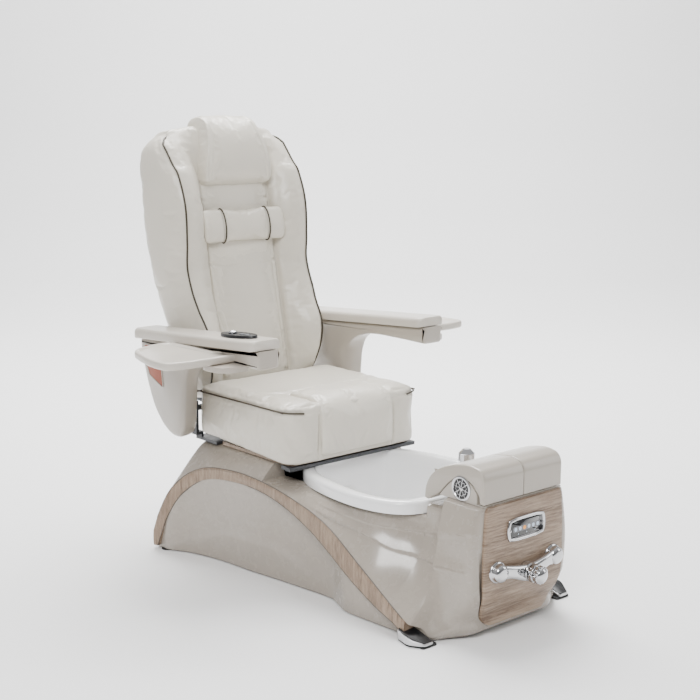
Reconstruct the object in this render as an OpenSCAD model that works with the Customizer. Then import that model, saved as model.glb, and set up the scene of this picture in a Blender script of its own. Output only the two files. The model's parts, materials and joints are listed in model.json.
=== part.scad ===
/* [Tub] */
// Height of the basin rim above the floor
rim_z = 352; // [348:1:354]
// Height of the basin rim's turned-down edge
rim_h = 38; // [30:1:40]
// Half width of the basin rim
rim_half = 256; // [250:1:256]
// Depth of the bowl below the rim
bowl_depth = 214; // [160:1:220]
// Wall thickness of the basin and the tub shell
wall = 8; // [6:0.5:9]
// Height of the front column of the shell
column_z = 388; // [380:1:388]
/* [Upholstery] */
// Width of the seat cushion
seat_w = 540; // [500:5:540]
// Front edge of the seat cushion, from the recline shaft
seat_reach = 510; // [490:5:510]
// Top of the seat cushion above the floor
seat_z = 556; // [545:1:560]
// Lean of the backrest from upright at rest, degrees
back_lean = 11; // [9:1:13]
// Length of the backrest along its lean
back_len = 930; // [900:5:930]
/* [Arms] */
// Inner face of each arm, from the middle
arm_in = 300; // [296:1:302]
// Outer face of each arm, from the middle
arm_out = 380; // [375:1:381]
// Thickness of the armrest pads
pad_t = 36; // [30:1:38]
// Thickness of the side trays
tray_t = 24; // [20:1:25]
/* [Water fittings] */
// Distance between the two unions of the mixer
mixer_pitch = 228; // [210:1:230]
// Radius of the drain spigot
drain_r = 19; // [16:0.5:20]
// Radius of the water inlet tails
inlet_r = 10.5; // [9:0.5:11]
// Length of each spigot that a hose pushes on to
spigot = 24; // [20:1:24]

/* [Hidden] */
$fn = 48;

// The footprint's middle lies this far behind the drawing's own zero line.
frame_y = 130;
// Recline shaft, which the arms turn on as well.
shaft_y = 600;
shaft_z = 470;
shaft_r = 10;
gap = 0.3;
rim_low = rim_z - rim_h;
deck_z = 365;
floor_gap = 5;
bowl_z = rim_z - bowl_depth;
tray_pin = [432, 242];
// Middle of the hand shower's holder.
shower = [40, -352];
// Height of the rod that drives the seat's slide.
rod_z = 343;
// Hinge pin that both halves of the footrest flip up on.
flip_y = -604;
flip_z = 401;
flip_r = 3;
shell_stops = [
    -610, -600, -580, -555, -535, -510, -480, -470, -455, -430, -400, -393, -370, -345, -310, -270, -220,
    -160, -90, -20, 60, 130, 190, 200, 212, 270, 350, 420, 480, 530, 563, 600, 635, 664
];

function lerp(a, b, t) = a + (b - a) * t;
function seg(x, k, i = 0) = i >= len(k) - 2 || x < k[i + 1][0] ? i : seg(x, k, i + 1);
function rise(k, i) =
    let (a = max(i - 1, 0), b = min(i + 1, len(k) - 1))
    (k[b][1] - k[a][1]) / (k[b][0] - k[a][0]);
// A smooth curve through the knots k, read at x.
function smooth(x, k) =
    let (
        i = seg(x, k),
        h = k[i + 1][0] - k[i][0],
        t = min(max((x - k[i][0]) / h, 0), 1),
        p = k[i][1],
        q = k[i + 1][1],
        m = rise(k, i) * h,
        n = rise(k, i + 1) * h
    )
    p + m * t + (3 * (q - p) - 2 * m - n) * t * t + (2 * (p - q) + m + n) * t * t * t;

// Moves a piece from the drawing's zero line to the middle of the footprint.
module placed() { translate([0, -frame_y, 0]) children(); }
// Drawn upright on the recline shaft, then leaned back.
module leaned() { placed() translate([0, shaft_y, shaft_z]) rotate([-back_lean, 0, 0]) children(); }
module bar(lo, hi) { translate(lo) cube(hi - lo); }
module rod(from, to, r) {
    v = to - from;
    translate(from)
        rotate([0, acos(v[2] / norm(v)), atan2(v[1], v[0])])
        cylinder(h = norm(v), r = r);
}
// A flat outline in X and Z, made solid from y0 to y1.
module slab_xz(y0, y1) { translate([0, y1, 0]) rotate([90, 0, 0]) linear_extrude(y1 - y0) children(); }
// A flat outline in Y and Z, made solid from x0 to x1.
module slab_yz(x0, x1) { translate([x0, 0, 0]) rotate([90, 0, 90]) linear_extrude(x1 - x0) children(); }
// A rectangle with round corners between two points.
module round_rect(x0, y0, x1, y1, r) {
    translate([x0 + r, y0]) square([x1 - x0 - 2 * r, y1 - y0]);
    translate([x0, y0 + r]) square([x1 - x0, y1 - y0 - 2 * r]);
    for (x = [x0 + r, x1 - r], y = [y0 + r, y1 - r]) {
        translate([x, y]) circle(r = r);
    }
}
// A skin over rings of points that all have the same length.
module loft(rings) {
    n = len(rings[0]);
    last = len(rings) - 1;
    sides = [
        for (i = [0:last - 1], j = [0:n - 1])
            let (a = i * n, b = a + n, k = (j + 1) % n)
            each [[a + j, b + k, a + k], [a + j, b + j, b + k]]
    ];
    caps = [[for (j = [0:n - 1]) j], [for (j = [n - 1:-1:0]) last * n + j]];
    polyhedron([for (r = rings) each r], concat(sides, caps), convexity = 6);
}

// ---- tub shell: its section changes along Y ----
function top_z(y) = y < -475 ? column_z : y < -396 ? 350 : y < 198 ? rim_low - gap
    : min(deck_z, smooth(y, [[200, deck_z], [563, deck_z], [600, 322], [635, 268], [664, 215]]));
function top_x(y) = y < -475 ? smooth(y, [[-610, 158], [-590, 170], [-480, 168]])
    : smooth(y, [[-470, 150], [-400, 158], [-345, 176], [-290, 212], [-235, 234], [196, 236], [210, 250],
                 [560, 250], [664, 268]]);
function arch_x(y) =
    smooth(y, [[-540, 302], [-470, 308], [-250, 304], [200, 300], [400, 312], [500, 335], [580, 372],
               [640, 404], [672, 420]]);
function foot_x(y) =
    smooth(y, [[-610, 156], [-580, 168], [-555, 186], [-540, 240], [-510, 254], [-400, 262], [0, 268],
               [168, 272], [401, 296], [531, 345], [600, 380], [664, 394]]);
function arch_hi(y) =
    smooth(y, [[-540, 14], [-496, 40], [-369, 111], [-263, 170], [-116, 251], [39, 290], [205, 312],
               [356, 315], [500, 292], [590, 218], [640, 110], [664, 20]]);
function arch_lo(y) =
    smooth(y, [[-455, 16], [-423, 37], [-335, 66], [-227, 114], [-116, 176], [-39, 214], [80, 255],
               [206, 278], [357, 280], [480, 258], [560, 196], [610, 108], [640, 12]]);
function side_x(y) = y < -470 ? foot_x(y) : arch_x(y) - 3;
function side_z(y) = y < -500 ? smooth(y, [[-610, 60], [-580, 40], [-540, 14], [-500, 24]]) : arch_hi(y);
function flare(y) =
    smooth(y, [[-610, 4], [-470, 4], [-400, 3], [-300, 1.7], [-150, 1.1], [0, 0.8], [664, 0.8]]);
// The side walls of the front column swell a little at mid height.
function swell(y) = y < -470 ? 16 : y < -400 ? 16 * (-400 - y) / 70 : 0;
// How far the front leans back towards the floor.
function recede(z) = 52 * pow(max(0, (140 - z) / 110), 1.5);
// Height of the top, which the inside follows at a full wall's distance past each step.
function roof_z(y, t) = min(top_z(y - t), top_z(y + t)) - t;
function half_ring(y, t, low) = concat(
    [for (s = [0, 0.25, 0.5, 0.7, 0.86, 1])
        [lerp(top_x(y), side_x(y), pow(s, flare(y))) + swell(y) * sin(180 * s) - t,
         lerp(roof_z(y, t), side_z(y) - t, s)]],
    [[foot_x(y) - t - 1, side_z(y) - t - 1], [foot_x(y) - t - 1, low]]
);
function shell_ring(y, t, low) =
    let (h = half_ring(y, t, low), n = len(h))
    [for (p = h) [p[0], y + fore(y) * recede(p[1]), p[1]],
     for (i = [n - 1:-1:0]) [-h[i][0], y + fore(y) * recede(h[i][1]), h[i][1]]];
// 1 at the front face, fading to 0 behind the front column.
function fore(y) = max(0, min(1, (-470 - y) / 130));

// A stiffening web between the side wall and the deck.
module deck_web(x, y) {
    hull() {
        bar([x, y, deck_z - wall - 2], [x + 26, y + 6, deck_z - 3]);
        bar([x + 22, y, deck_z - 50], [x + 26, y + 6, deck_z - wall]);
    }
}
module tub_shell() {
    color([0.80, 0.78, 0.75]) placed() {
        tub_skin();
        for (s = [0, 1], y = [250, 330, 410, 490]) {
            mirror([s, 0, 0]) deck_web(219, y);
        }
    }
}
module tub_skin() {
    difference() {
        loft([for (y = shell_stops) shell_ring(y, 0, floor_gap)]);
        loft([for (y = shell_stops) shell_ring(max(min(y, 664 - wall), wall - 610), wall, floor_gap - 5)]);
        // mouth of the basin
        translate([0, 0, rim_low - 3 * wall])
            linear_extrude(100) round_rect(-212, -312, 212, 162, 80);
        // opening for the seat rails, forward over the back of the rim
        bar([-215, 150, rim_low - 3 * wall], [215, 545, deck_z + 20]);
        translate([shower[0], shower[1], 280]) cylinder(h = 60, r = 16);
        // unions of the mixer through the front
        for (x = [-mixer_pitch / 2, mixer_pitch / 2]) {
            translate([x, -590, 200]) rotate([90, 0, 0]) cylinder(h = 30, r = 12);
        }
        // service connections through the back
        for (x = [-70, 70]) {
            translate([x, 640, 90]) rotate([-90, 0, 0]) cylinder(h = 40, r = inlet_r + 12);
        }
        translate([0, 640, 70]) rotate([-90, 0, 0]) cylinder(h = 40, r = drain_r + 12);
    }
}

module basin() {
    color([0.95, 0.95, 0.95]) placed() difference() {
        union() {
            translate([0, 0, rim_low]) linear_extrude(rim_h)
                round_rect(-rim_half, -385, rim_half, 182, 140);
            translate([0, 0, bowl_z - wall]) linear_extrude(rim_z - bowl_z)
                round_rect(-205, -305, 205, 155, 76);
        }
        // the mouth is wider than the bowl, which leaves a step all round
        translate([0, 0, rim_low + 10]) linear_extrude(rim_h)
            round_rect(-216, -322, 216, 147, 96);
        translate([0, 0, bowl_z]) linear_extrude(bowl_depth + 1)
            round_rect(-197, -297, 197, 147, 68);
        translate([shower[0], shower[1], rim_low - 1]) cylinder(h = rim_h + 2, r = 14.5);
        translate([0, -180, bowl_z - wall - 1]) cylinder(h = wall + 2, r = 24);
        translate([0, 140, 215]) rotate([-90, 0, 0]) cylinder(h = 20, r = 36);
    }
}

module drain_fitting() {
    color("silver") placed() translate([0, -180, bowl_z]) difference() {
        union() {
            cylinder(h = 3, r = 34);
            translate([0, 0, -46]) cylinder(h = 46, r = 23.9);
            translate([0, 0, -30]) cylinder(h = 30 - wall - 0.5, r = 32);
        }
        translate([0, 0, -30]) cylinder(h = 34, r = 19);
        translate([0, 0, -47]) cylinder(h = 20, r = 6.05);
    }
}

module drain_stopper() {
    color("silver") placed() translate([0, -180, bowl_z]) {
        translate([0, 0, 3.5]) cylinder(h = 4, r = 27);
        translate([0, 0, -46]) cylinder(h = 50, r = 6);
    }
}

module jet_housing() {
    color([0.9, 0.9, 0.9]) placed() translate([0, 147, 215]) rotate([90, 0, 0]) difference() {
        union() {
            cylinder(h = 6, r = 52);
            translate([0, 0, -30]) cylinder(h = 30, r = 35.8);
            translate([0, 0, 6]) cylinder(h = 16, r = 40);
        }
        translate([0, 0, -26]) cylinder(h = 40, r = 31);
        for (a = [0:30:330]) {
            rotate(a) translate([20, 0, 13]) cylinder(h = 10, r = 4);
        }
        translate([0, 0, -31]) cylinder(h = 6, r = 7);
    }
}

module jet_impeller() {
    color([0.3, 0.3, 0.32]) placed() translate([0, 147, 215]) rotate([90, 0, 0]) {
        translate([0, 0, -22]) cylinder(h = 6, r = 28);
        translate([0, 0, -40]) cylinder(h = 44, r = 6);
        for (a = [0:60:300]) {
            rotate(a) translate([5, -1.5, -17]) cube([21, 3, 20]);
        }
    }
}

module jet_motor() {
    color([0.25, 0.25, 0.27]) placed() translate([0, 180, 215]) rotate([-90, 0, 0]) difference() {
        union() {
            cylinder(h = 12, r = 44);
            translate([0, 0, 12]) cylinder(h = 78, r = 36);
            translate([-18, 24, 26]) cube([36, 20, 46]);
        }
        translate([0, 0, -1]) cylinder(h = 12, r = 6.1);
    }
}

// Half width of the bowed wooden front at the height z.
function front_half(z) = smooth(z, [[36, 122], [60, 142], [120, 154], [250, 161], [386, 156]]);
module front_panel() {
    zs = [for (i = [0:18]) lerp(36, 386, i / 18)];
    color([0.70, 0.62, 0.55]) placed() difference() {
        loft([
            for (z = zs)
                let (h = front_half(z), y = recede(z) - 610.3)
                [[-h, y, z], [h, y, z], [h, y - 9.7, z], [-h, y - 9.7, z]]
        ]);
        for (x = [-mixer_pitch / 2, mixer_pitch / 2]) {
            translate([x, -600, 200]) rotate([90, 0, 0]) cylinder(h = 30, r = 12);
        }
        translate([0, 0, 307]) bar([-66, -630, -26], [66, -600, 26]);
    }
}

// ---- wooden arches ----
module arch_trim() {
    ys = [for (y = shell_stops) if (y >= -455 && y <= 635) y];
    color([0.70, 0.62, 0.55]) placed() loft([
        for (y = ys)
            let (hi = arch_hi(y) - 1.5, lo = max(floor_gap + 2, arch_lo(y)))
            [[arch_x(y), y, hi], [arch_x(y), y, min(lo, hi - 6)],
             [foot_x(y) + 0.5, y, min(lo, hi - 6)], [foot_x(y) + 0.5, y, hi]]
    ]);
}
module arch_trim_right() { arch_trim(); }
module arch_trim_left() { mirror([1, 0, 0]) arch_trim(); }

module foot_shoe() {
    placed() hull() {
        bar([263, -532, floor_gap], [312, -462, 18]);
        bar([264, -500, 18], [310, -462, 33]);
    }
}
module foot_shoes() {
    color("silver") {
        foot_shoe();
        mirror([1, 0, 0]) foot_shoe();
    }
}

module levelling_feet() {
    color([0.1, 0.1, 0.1]) placed() {
        for (s = [-1, 1]) {
            translate([s * 278, -498, 0]) linear_extrude(floor_gap) round_rect(-28, -36, 28, 32, 8);
            translate([s * 372, 624, 0]) cylinder(h = floor_gap, r = 22);
            translate([s * 120, -400, 0]) cylinder(h = 20, r = 22);
            translate([s * 120, 560, 0]) cylinder(h = 20, r = 22);
        }
    }
}

module steel_frame() {
    color([0.3, 0.32, 0.34]) placed() {
        for (s = [-1, 1]) {
            bar([s * 120 - 15, -440, 20], [s * 120 + 15, 600, 50]);
            bar([s * 150 - 15, 240, 30], [s * 150 + 15, 270, 330]);
            bar([s * 150 - 15, 500, 30], [s * 150 + 15, 530, 330]);
        }
        for (y = [-440, 240, 500]) {
            bar([-165, y, 20.5], [165, y + 30, 49.5]);
        }
        bar([-135, 245, 300], [135, 265, 329]);
        bar([-135, 505, 300], [135, 525, 329]);
    }
}

module seat_rails() {
    color([0.5, 0.52, 0.54]) placed() for (s = [-1, 1]) difference() {
        bar([s * 150 - 20, 205, 330], [s * 150 + 20, 540, 350]);
        bar([s * 150 - 12, 200, 336], [s * 150 + 12, 545, 351]);
    }
}

module slide_motor() {
    color([0.2, 0.2, 0.22]) placed() {
        difference() {
            translate([0, 512, rod_z]) rotate([90, 0, 0]) cylinder(h = 162, r = 9);
            translate([0, 511, rod_z]) rotate([90, 0, 0]) cylinder(h = 162, r = 6.5);
        }
        bar([-22, 512, 331], [22, 540, 352]);
        bar([-22, 506, 329.2], [22, 528, 332]);
    }
}

module drain_pump() {
    color([0.15, 0.2, 0.35]) placed() difference() {
        union() {
            translate([0, -60, 72]) rotate([-90, 0, 0]) cylinder(h = 90, r = 34);
            translate([0, 30, 72]) rotate([-90, 0, 0]) cylinder(h = 30, r = 42);
            translate([0, -80, 72]) rotate([-90, 0, 0]) cylinder(h = 20, r = 22);
            bar([-45, -40, 50.5], [45, 20, 56]);
        }
        translate([0, -81, 72]) rotate([-90, 0, 0]) cylinder(h = 15, r = 15.5);
    }
}

module pipework() {
    color([0.75, 0.76, 0.78]) placed() {
        rod([0, -180, 62], [0, -180, 91], 15);
        rod([0, -180, 72], [0, -80.2, 72], 14.9);
        difference() {
            union() {
                translate([0, 60.2, 70]) rotate([-90, 0, 0]) cylinder(h = 620, r = drain_r - 1.5);
                translate([0, 670, 70]) rotate([-90, 0, 0]) cylinder(h = spigot, r = drain_r);
            }
            translate([0, 61, 70]) rotate([-90, 0, 0]) cylinder(h = 640, r = drain_r - 4);
        }
        for (s = [-1, 1]) {
            difference() {
                union() {
                    translate([s * 70, -570, 90]) rotate([-90, 0, 0]) cylinder(h = 1250, r = inlet_r - 0.8);
                    translate([s * 70, 670, 90]) rotate([-90, 0, 0]) cylinder(h = spigot, r = inlet_r);
                }
                translate([s * 70, 600, 90]) rotate([-90, 0, 0]) cylinder(h = 100, r = inlet_r - 4);
            }
            rod([s * 70, -570, 90], [s * 114, -570, 200], 9);
            rod([s * 114, -601, 200], [s * 114, -560, 200], 9);
        }
    }
}

module control_box() {
    color([0.2, 0.22, 0.2]) placed() difference() {
        bar([-110, 330, 110], [110, 470, 190]);
        bar([-105, 335, 115], [105, 465, 186]);
        bar([-60, 320, 140], [60, 340, 170]);
    }
}

module display_bezel() {
    color("silver") placed() translate([0, 0, 307]) difference() {
        slab_xz(-627, -620.3) round_rect(-78, -35, 78, 35, 20);
        slab_xz(-640, -600) round_rect(-64, -25, 64, 25, 5);
    }
}
module display_screen() {
    color([0.05, 0.05, 0.06]) placed() translate([0, 0, 307]) {
        slab_xz(-624, -621) round_rect(-63.6, -24.6, 63.6, 24.6, 5);
        bar([-60, -621, -22], [60, -611, 22]);
    }
}

module mixer_body() {
    half = mixer_pitch / 2;
    color("silver") placed() difference() {
        union() {
            for (s = [-1, 1]) {
                translate([s * half, -620.3, 200]) rotate([90, 0, 0]) cylinder(h = 6, r = 31);
                translate([s * half, -626.3, 200]) rotate([90, 0, 0]) cylinder(h = 20, r = 25);
                translate([s * half, -601, 200]) rotate([90, 0, 0]) cylinder(h = 20, r = 11);
            }
            slab_xz(-646, -622) polygon([
                [-half, 222], [-60, 210], [0, 204], [60, 210], [half, 222],
                [half, 178], [60, 166], [0, 156], [-60, 166], [-half, 178]
            ]);
            translate([0, -622, 180]) rotate([90, 0, 0]) cylinder(h = 30, r = 25);
        }
        translate([0, -635, 180]) rotate([90, 0, 0]) cylinder(h = 20, r = 12.1);
        for (s = [-1, 1]) {
            translate([s * half, -600, 200]) rotate([90, 0, 0]) cylinder(h = 21, r = 9.2);
        }
    }
}
// A turning grip on the mixer's axis, with ribs round it.
module grip(y0, y1, r, ribs) {
    translate([0, y1, 180]) rotate([90, 0, 0]) {
        cylinder(h = y1 - y0, r = r);
        for (a = [0:360 / ribs:359]) {
            rotate(a) translate([r - 1, -1.5, 2]) cube([3.5, 3, y1 - y0 - 4]);
        }
    }
}
module temperature_ring() {
    color("silver") placed() difference() {
        grip(-669, -652.5, 23, 12);
        translate([0, -640, 180]) rotate([90, 0, 0]) cylinder(h = 40, r = 12.1);
    }
}
module flow_knob() {
    color("silver") placed() {
        grip(-687, -670, 22, 12);
        translate([0, -669, 180]) rotate([90, 0, 0]) cylinder(h = 31, r = 17);
        translate([0, -640, 180]) rotate([90, 0, 0]) cylinder(h = 35, r = 12);
    }
}

// ---- footrest ----
module footrest_base() {
    color([0.80, 0.78, 0.75]) placed() difference() {
        slab_yz(-150, 150) polygon([
            [-609, 388.3], [-609, 404], [-606, 406.5], [-599, 406.5], [-560, 442], [-525, 452],
            [-490, 436], [-458, 408], [-458, 388.3]
        ]);
        slab_yz(-135, 135) polygon([
            [-585, 385], [-585, 405], [-555, 432], [-525, 442], [-495, 428], [-475, 408], [-475, 385]
        ]);
        bar([-13, -612, 380], [13, -591, 420]);
        rod([-200, flip_y, flip_z], [200, flip_y, flip_z], flip_r + 0.05);
    }
}
module footrest_pin() {
    color([0.6, 0.62, 0.65]) placed() rod([-159, flip_y, flip_z], [159, flip_y, flip_z], flip_r);
}
module footrest_caps() {
    color("silver") placed() for (s = [-1, 1]) scale([s, 1, 1])
        translate([150.3, -525, 425]) rotate([0, 90, 0]) difference() {
            cylinder(h = 12, r = 36);
            translate([0, 0, 9]) cylinder(h = 5, r = 30);
        }
}
module footrest_half() {
    placed() difference() {
        slab_yz(1, 160) polygon(concat(
            [[-610, 409]],
            [for (a = [0:15:90]) [-592 - 18 * cos(a), 478 + 12 * sin(a)]],
            [[-560, 495], [-505, 489], [-446, 470], [-405, 440], [-387, 408], [-384, 370], [-396, 365]],
            [[-440, 392], [-456, 410], [-488, 441], [-525, 457], [-562, 447], [-595, 414]]
        ));
        slab_yz(150.2, 170) polygon([
            [-562, 380], [-562, 463], [-488, 463], [-470, 430], [-470, 380]
        ]);
    }
    placed() difference() {
        union() {
            bar([1, -609, 395], [12, -597, 420]);
            bar([150.5, -609, 395], [160, -597, 420]);
        }
        rod([-200, flip_y, flip_z], [200, flip_y, flip_z], flip_r + 0.05);
    }
}
module footrest_right() { color([0.84, 0.82, 0.79]) footrest_half(); }
module footrest_left() { color([0.84, 0.82, 0.79]) mirror([1, 0, 0]) footrest_half(); }

module shower_holder() {
    color("silver") placed() translate([shower[0], shower[1], 0]) difference() {
        union() {
            translate([0, 0, 290]) cylinder(h = 80, r = 14);
            translate([0, 0, rim_z + 0.3]) cylinder(h = 5, r = 19);
        }
        translate([0, 0, 289]) cylinder(h = 90, r = 10);
    }
}
module hand_shower() {
    color("silver") placed() translate([shower[0], shower[1], 0]) difference() {
        union() {
            translate([0, 0, 310]) cylinder(h = 112, r = 9.5);
            translate([0, 0, 372]) cylinder(h = 50, r = 12);
            translate([0, 0, 422]) cylinder(h = 11, r1 = 12, r2 = 23);
            translate([0, 0, 433]) cylinder(h = 22, r = 24);
            translate([0, 0, 455]) cylinder(h = 13, r1 = 23, r2 = 11);
        }
        translate([0, 0, 300]) cylinder(h = 135, r = 5);
    }
}

// ---- sliding seat ----
module seat_carriage() {
    color([0.3, 0.32, 0.34]) placed() difference() {
        union() {
            for (s = [-1, 1]) {
                bar([s * 150 - 11, 300, 337], [s * 150 + 11, 495, 354]);
                bar([s * 150 - 18, 112, 354], [s * 150 + 18, 500, 366]);
                bar([s * 235 - 22, 100, 354], [s * 235 + 22, 150, 366]);
                bar([s * 260 - 4, 571, 370], [s * 260 + 4, 604, 395]);
                bar([s * 270 - 14, 571, 385], [s * 270 + 14, 604, 395]);
                bar([s * 279 - 5, 571, 385], [s * 279 + 5, 629, 500]);
            }
            bar([-262, 100, 354.5], [262, 124, 365.5]);
            bar([-160, 288, 354.5], [160, 306, 365.5]);
            // flat plate over the deck, behind the seat board
            bar([-264, 485, 366], [264, 604, 376]);
            rod([-330, shaft_y, shaft_z], [330, shaft_y, shaft_z], shaft_r);
        }
        for (s = [-1, 1]) {
            translate([s * 245, 137, 340]) cylinder(h = 40, r = 4.5);
        }
    }
}
module slide_rod() {
    color("silver") placed() {
        rod([0, 300, rod_z], [0, 465, rod_z], 6);
        bar([-14, 290, 335], [14, 304, 354.3]);
    }
}
module seat_board() {
    color([0.72, 0.6, 0.45]) placed() translate([0, 0, 366.3]) linear_extrude(10)
        round_rect(-250, 112, 250, 484, 20);
}
// Four round posts, to be hulled into a soft block.
module corner_posts(x0, y0, x1, y1, r, z0, z1) {
    for (x = [x0 + r, x1 - r], y = [y0 + r, y1 - r]) {
        translate([x, y, z0]) cylinder(h = z1 - z0, r = r, $fn = 32);
    }
}
module front_pad_body(grow) {
    hull() for (p = [[388, 80, 12], [470, 78, 12], [540, 84, 16]]) {
        translate([0, 0, p[0]]) linear_extrude(4)
            round_rect(-148 - grow, p[1] - grow, 148 + grow, 96 + grow, p[2] / 3);
    }
    hull() {
        bar([-148 - grow, 92 - grow, 546 - grow], [148 + grow, 240 + grow, 550]);
        bar([-144 - grow, 104 - grow, 546], [144 + grow, 232 + grow, 562]);
    }
    bar([-148 - grow, 84, 535], [148 + grow, 110, 552]);
}
module seat_cushion() {
    front = shaft_y - seat_reach;
    half = seat_w / 2;
    color([0.88, 0.86, 0.82]) placed() difference() {
        hull() {
            corner_posts(12 - half, front + 14, half - 12, 550, 45, 377, 381);
            corner_posts(-half, front, half, 552, 55, 420, 534);
            corner_posts(50 - half, front + 50, half - 50, 540, 45, seat_z - 4, seat_z);
        }
        front_pad_body(gap);
    }
}
module seat_front_pad() { color([0.90, 0.88, 0.84]) placed() front_pad_body(0); }

module recline_motor() {
    color([0.2, 0.2, 0.22]) placed() {
        difference() {
            translate([200, shaft_y, shaft_z]) rotate([0, 90, 0]) cylinder(h = 50, r = 34);
            translate([199, shaft_y, shaft_z]) rotate([0, 90, 0]) cylinder(h = 52, r = shaft_r + 0.05);
        }
        bar([204, 570, 376.3], [246, 596, 440]);
        translate([225, 583, 385]) cylinder(h = 20, r = 10);
    }
}

// ---- backrest, drawn upright on the recline shaft ----
// Half width at the back and at the front edge, depth of the back, and depth of the front edge.
function back_half(w) =
    smooth(w, [[20, 214], [150, 240], [300, 256], [450, 268], [600, 274], [800, 276], [870, 266],
               [905, 240], [930, 196]]);
function edge_half(w) = min(250, back_half(w) - 12);
function back_deep(w) = smooth(w, [[20, 132], [290, 168], [450, 190], [640, 194], [880, 160], [930, 130]]);
function edge_deep(w) =
    smooth(w, [[50, -10], [94, -48], [164, -84], [234, -92], [326, -60], [453, -35], [540, -53],
               [660, -70], [770, -51], [805, -28], [888, 20], [930, 54]]);
module back_frame() {
    color([0.3, 0.32, 0.34]) leaned() difference() {
        union() {
            for (s = [-1, 1]) {
                bar([s * 170 - 12, 100, 20], [s * 170 + 12, 124, 820]);
                translate([s * 170 - 12, 0, 0]) rotate([0, 90, 0]) cylinder(h = 24, r = 26);
                hull() {
                    bar([s * 170 - 12, -20, -14], [s * 170 + 12, 0, 18]);
                    bar([s * 170 - 12, 100, 20], [s * 170 + 12, 124, 60]);
                }
            }
            bar([-158, 102, 40], [158, 122, 60]);
            bar([-158, 102, 796], [158, 122, 818]);
        }
        translate([-300, 0, 0]) rotate([0, 90, 0]) cylinder(h = 600, r = shaft_r + 0.05);
    }
}
function shell_cut(w, t) =
    let (h = back_half(w) - t, d = back_deep(w) - t)
    [[-h, 93.5 - 2 * t, w], [h, 93.5 - 2 * t, w], [h, d - 34, w], [h - 12, d - 12, w], [h - 36, d - 2, w],
     [0, d, w], [36 - h, d - 2, w], [12 - h, d - 12, w], [-h, d - 34, w]];
back_stops = [20, 90, 180, 300, 420, 520, 600, 680, 728, 760, 820, 870, 905, 930];
module back_shell() {
    color([0.86, 0.84, 0.80]) leaned() difference() {
        loft([for (w = back_stops) shell_cut(w * back_len / 930, 0)]);
        loft([for (w = back_stops) shell_cut(max(min(w * back_len / 930, 922), 28), 6)]);
        bar([-185, 60, 10], [185, 130, 40]);
        bar([-100, 130, 600], [100, 220, 680]);
    }
}
// Half width and depth of the recess that the centre panel lies in.
function recess(w) = w < 729 ? [138, 28] : [96, 6];
function cushion_cut(w) =
    let (h = back_half(w), e = edge_half(w), d = edge_deep(w), r = recess(w))
    [[-h, 93, w], [-lerp(e, h, 0.6), d + 30, w], [-e, d, w], [30 - e, d - 4, w], [-150, min(-2, d + 30), w],
     [-142, 0, w], [-r[0], r[1], w], [r[0], r[1], w], [142, 0, w], [150, min(-2, d + 30), w],
     [e - 30, d - 4, w], [e, d, w], [lerp(e, h, 0.6), d + 30, w], [h, 93, w]];
module headrest_body() {
    hull() for (p = [[136, -14, 772, 36], [122, -16, 850, 46], [100, 0, 927, 44], [96, 44, 931, 44]]) {
        translate([-p[0], p[1], p[2]]) rotate([0, 90, 0]) cylinder(h = 2 * p[0], r = p[3], $fn = 32);
    }
}
module back_cushion() {
    color([0.88, 0.86, 0.82]) leaned() difference() {
        loft([for (w = back_stops) if (w > 60) cushion_cut(w * back_len / 930)]);
        bar([-132, 15, 110], [132, 95, 860]);
        slab_xz(-90, 88.5) polygon([
            [-137, 734], [137, 734], [137, 809], [123, 897], [101, 976], [-101, 976], [-123, 897],
            [-137, 809]
        ]);
    }
}
module back_panel() {
    color([0.90, 0.88, 0.84]) leaned() slab_xz(-2, 26) round_rect(-137, 82, 137, 725, 12);
}
module headrest() { color([0.89, 0.87, 0.83]) leaned() headrest_body(); }
module rear_cover() {
    color([0.08, 0.08, 0.09]) leaned() translate([0, 0, 600]) difference() {
        hull() {
            slab_xz(196.3, 198.3) scale([1, 0.5]) circle(r = 200, $fn = 32);
            slab_xz(204, 212) scale([1, 0.5]) circle(r = 160, $fn = 32);
        }
        for (x = [-90:30:90]) {
            bar([x - 6, 200, -40], [x + 6, 224, 40]);
        }
    }
}

// ---- massage unit ----
module massage_rails() {
    color("silver") leaned() for (s = [-1, 1]) {
        rod([s * 110, 118, 60], [s * 110, 118, 795], 7);
        bar([s * 110 - 12, 108, 60.3], [s * 110 + 12, 128, 70]);
        bar([s * 110 - 12, 108, 785], [s * 110 + 12, 128, 795.5]);
    }
}
module massage_carriage() {
    color([0.35, 0.36, 0.38]) leaned() difference() {
        union() {
            bar([-84, 112, 340], [84, 118, 460]);
            for (s = [-1, 1]) {
                translate([s * 110, 118, 350]) cylinder(h = 100, r = 13);
                bar([s * 92 - 12, 112, 350], [s * 92 + 12, 124, 450]);
                bar([s * 60 - 22, 96, 392], [s * 60 - 14, 112, 408]);
                bar([s * 60 + 14, 96, 392], [s * 60 + 22, 112, 408]);
                translate([s * 60 - 22, 92, 400]) rotate([0, 90, 0]) cylinder(h = 44, r = 5);
            }
        }
        for (s = [-1, 1]) {
            translate([s * 110, 118, 345]) cylinder(h = 110, r = 7.05);
        }
    }
}
module massage_motor() {
    color([0.15, 0.15, 0.16]) leaned() {
        translate([-40, 140, 400]) rotate([0, 90, 0]) cylinder(h = 80, r = 20);
        bar([-30, 118.3, 370], [30, 140, 430]);
    }
}
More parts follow.
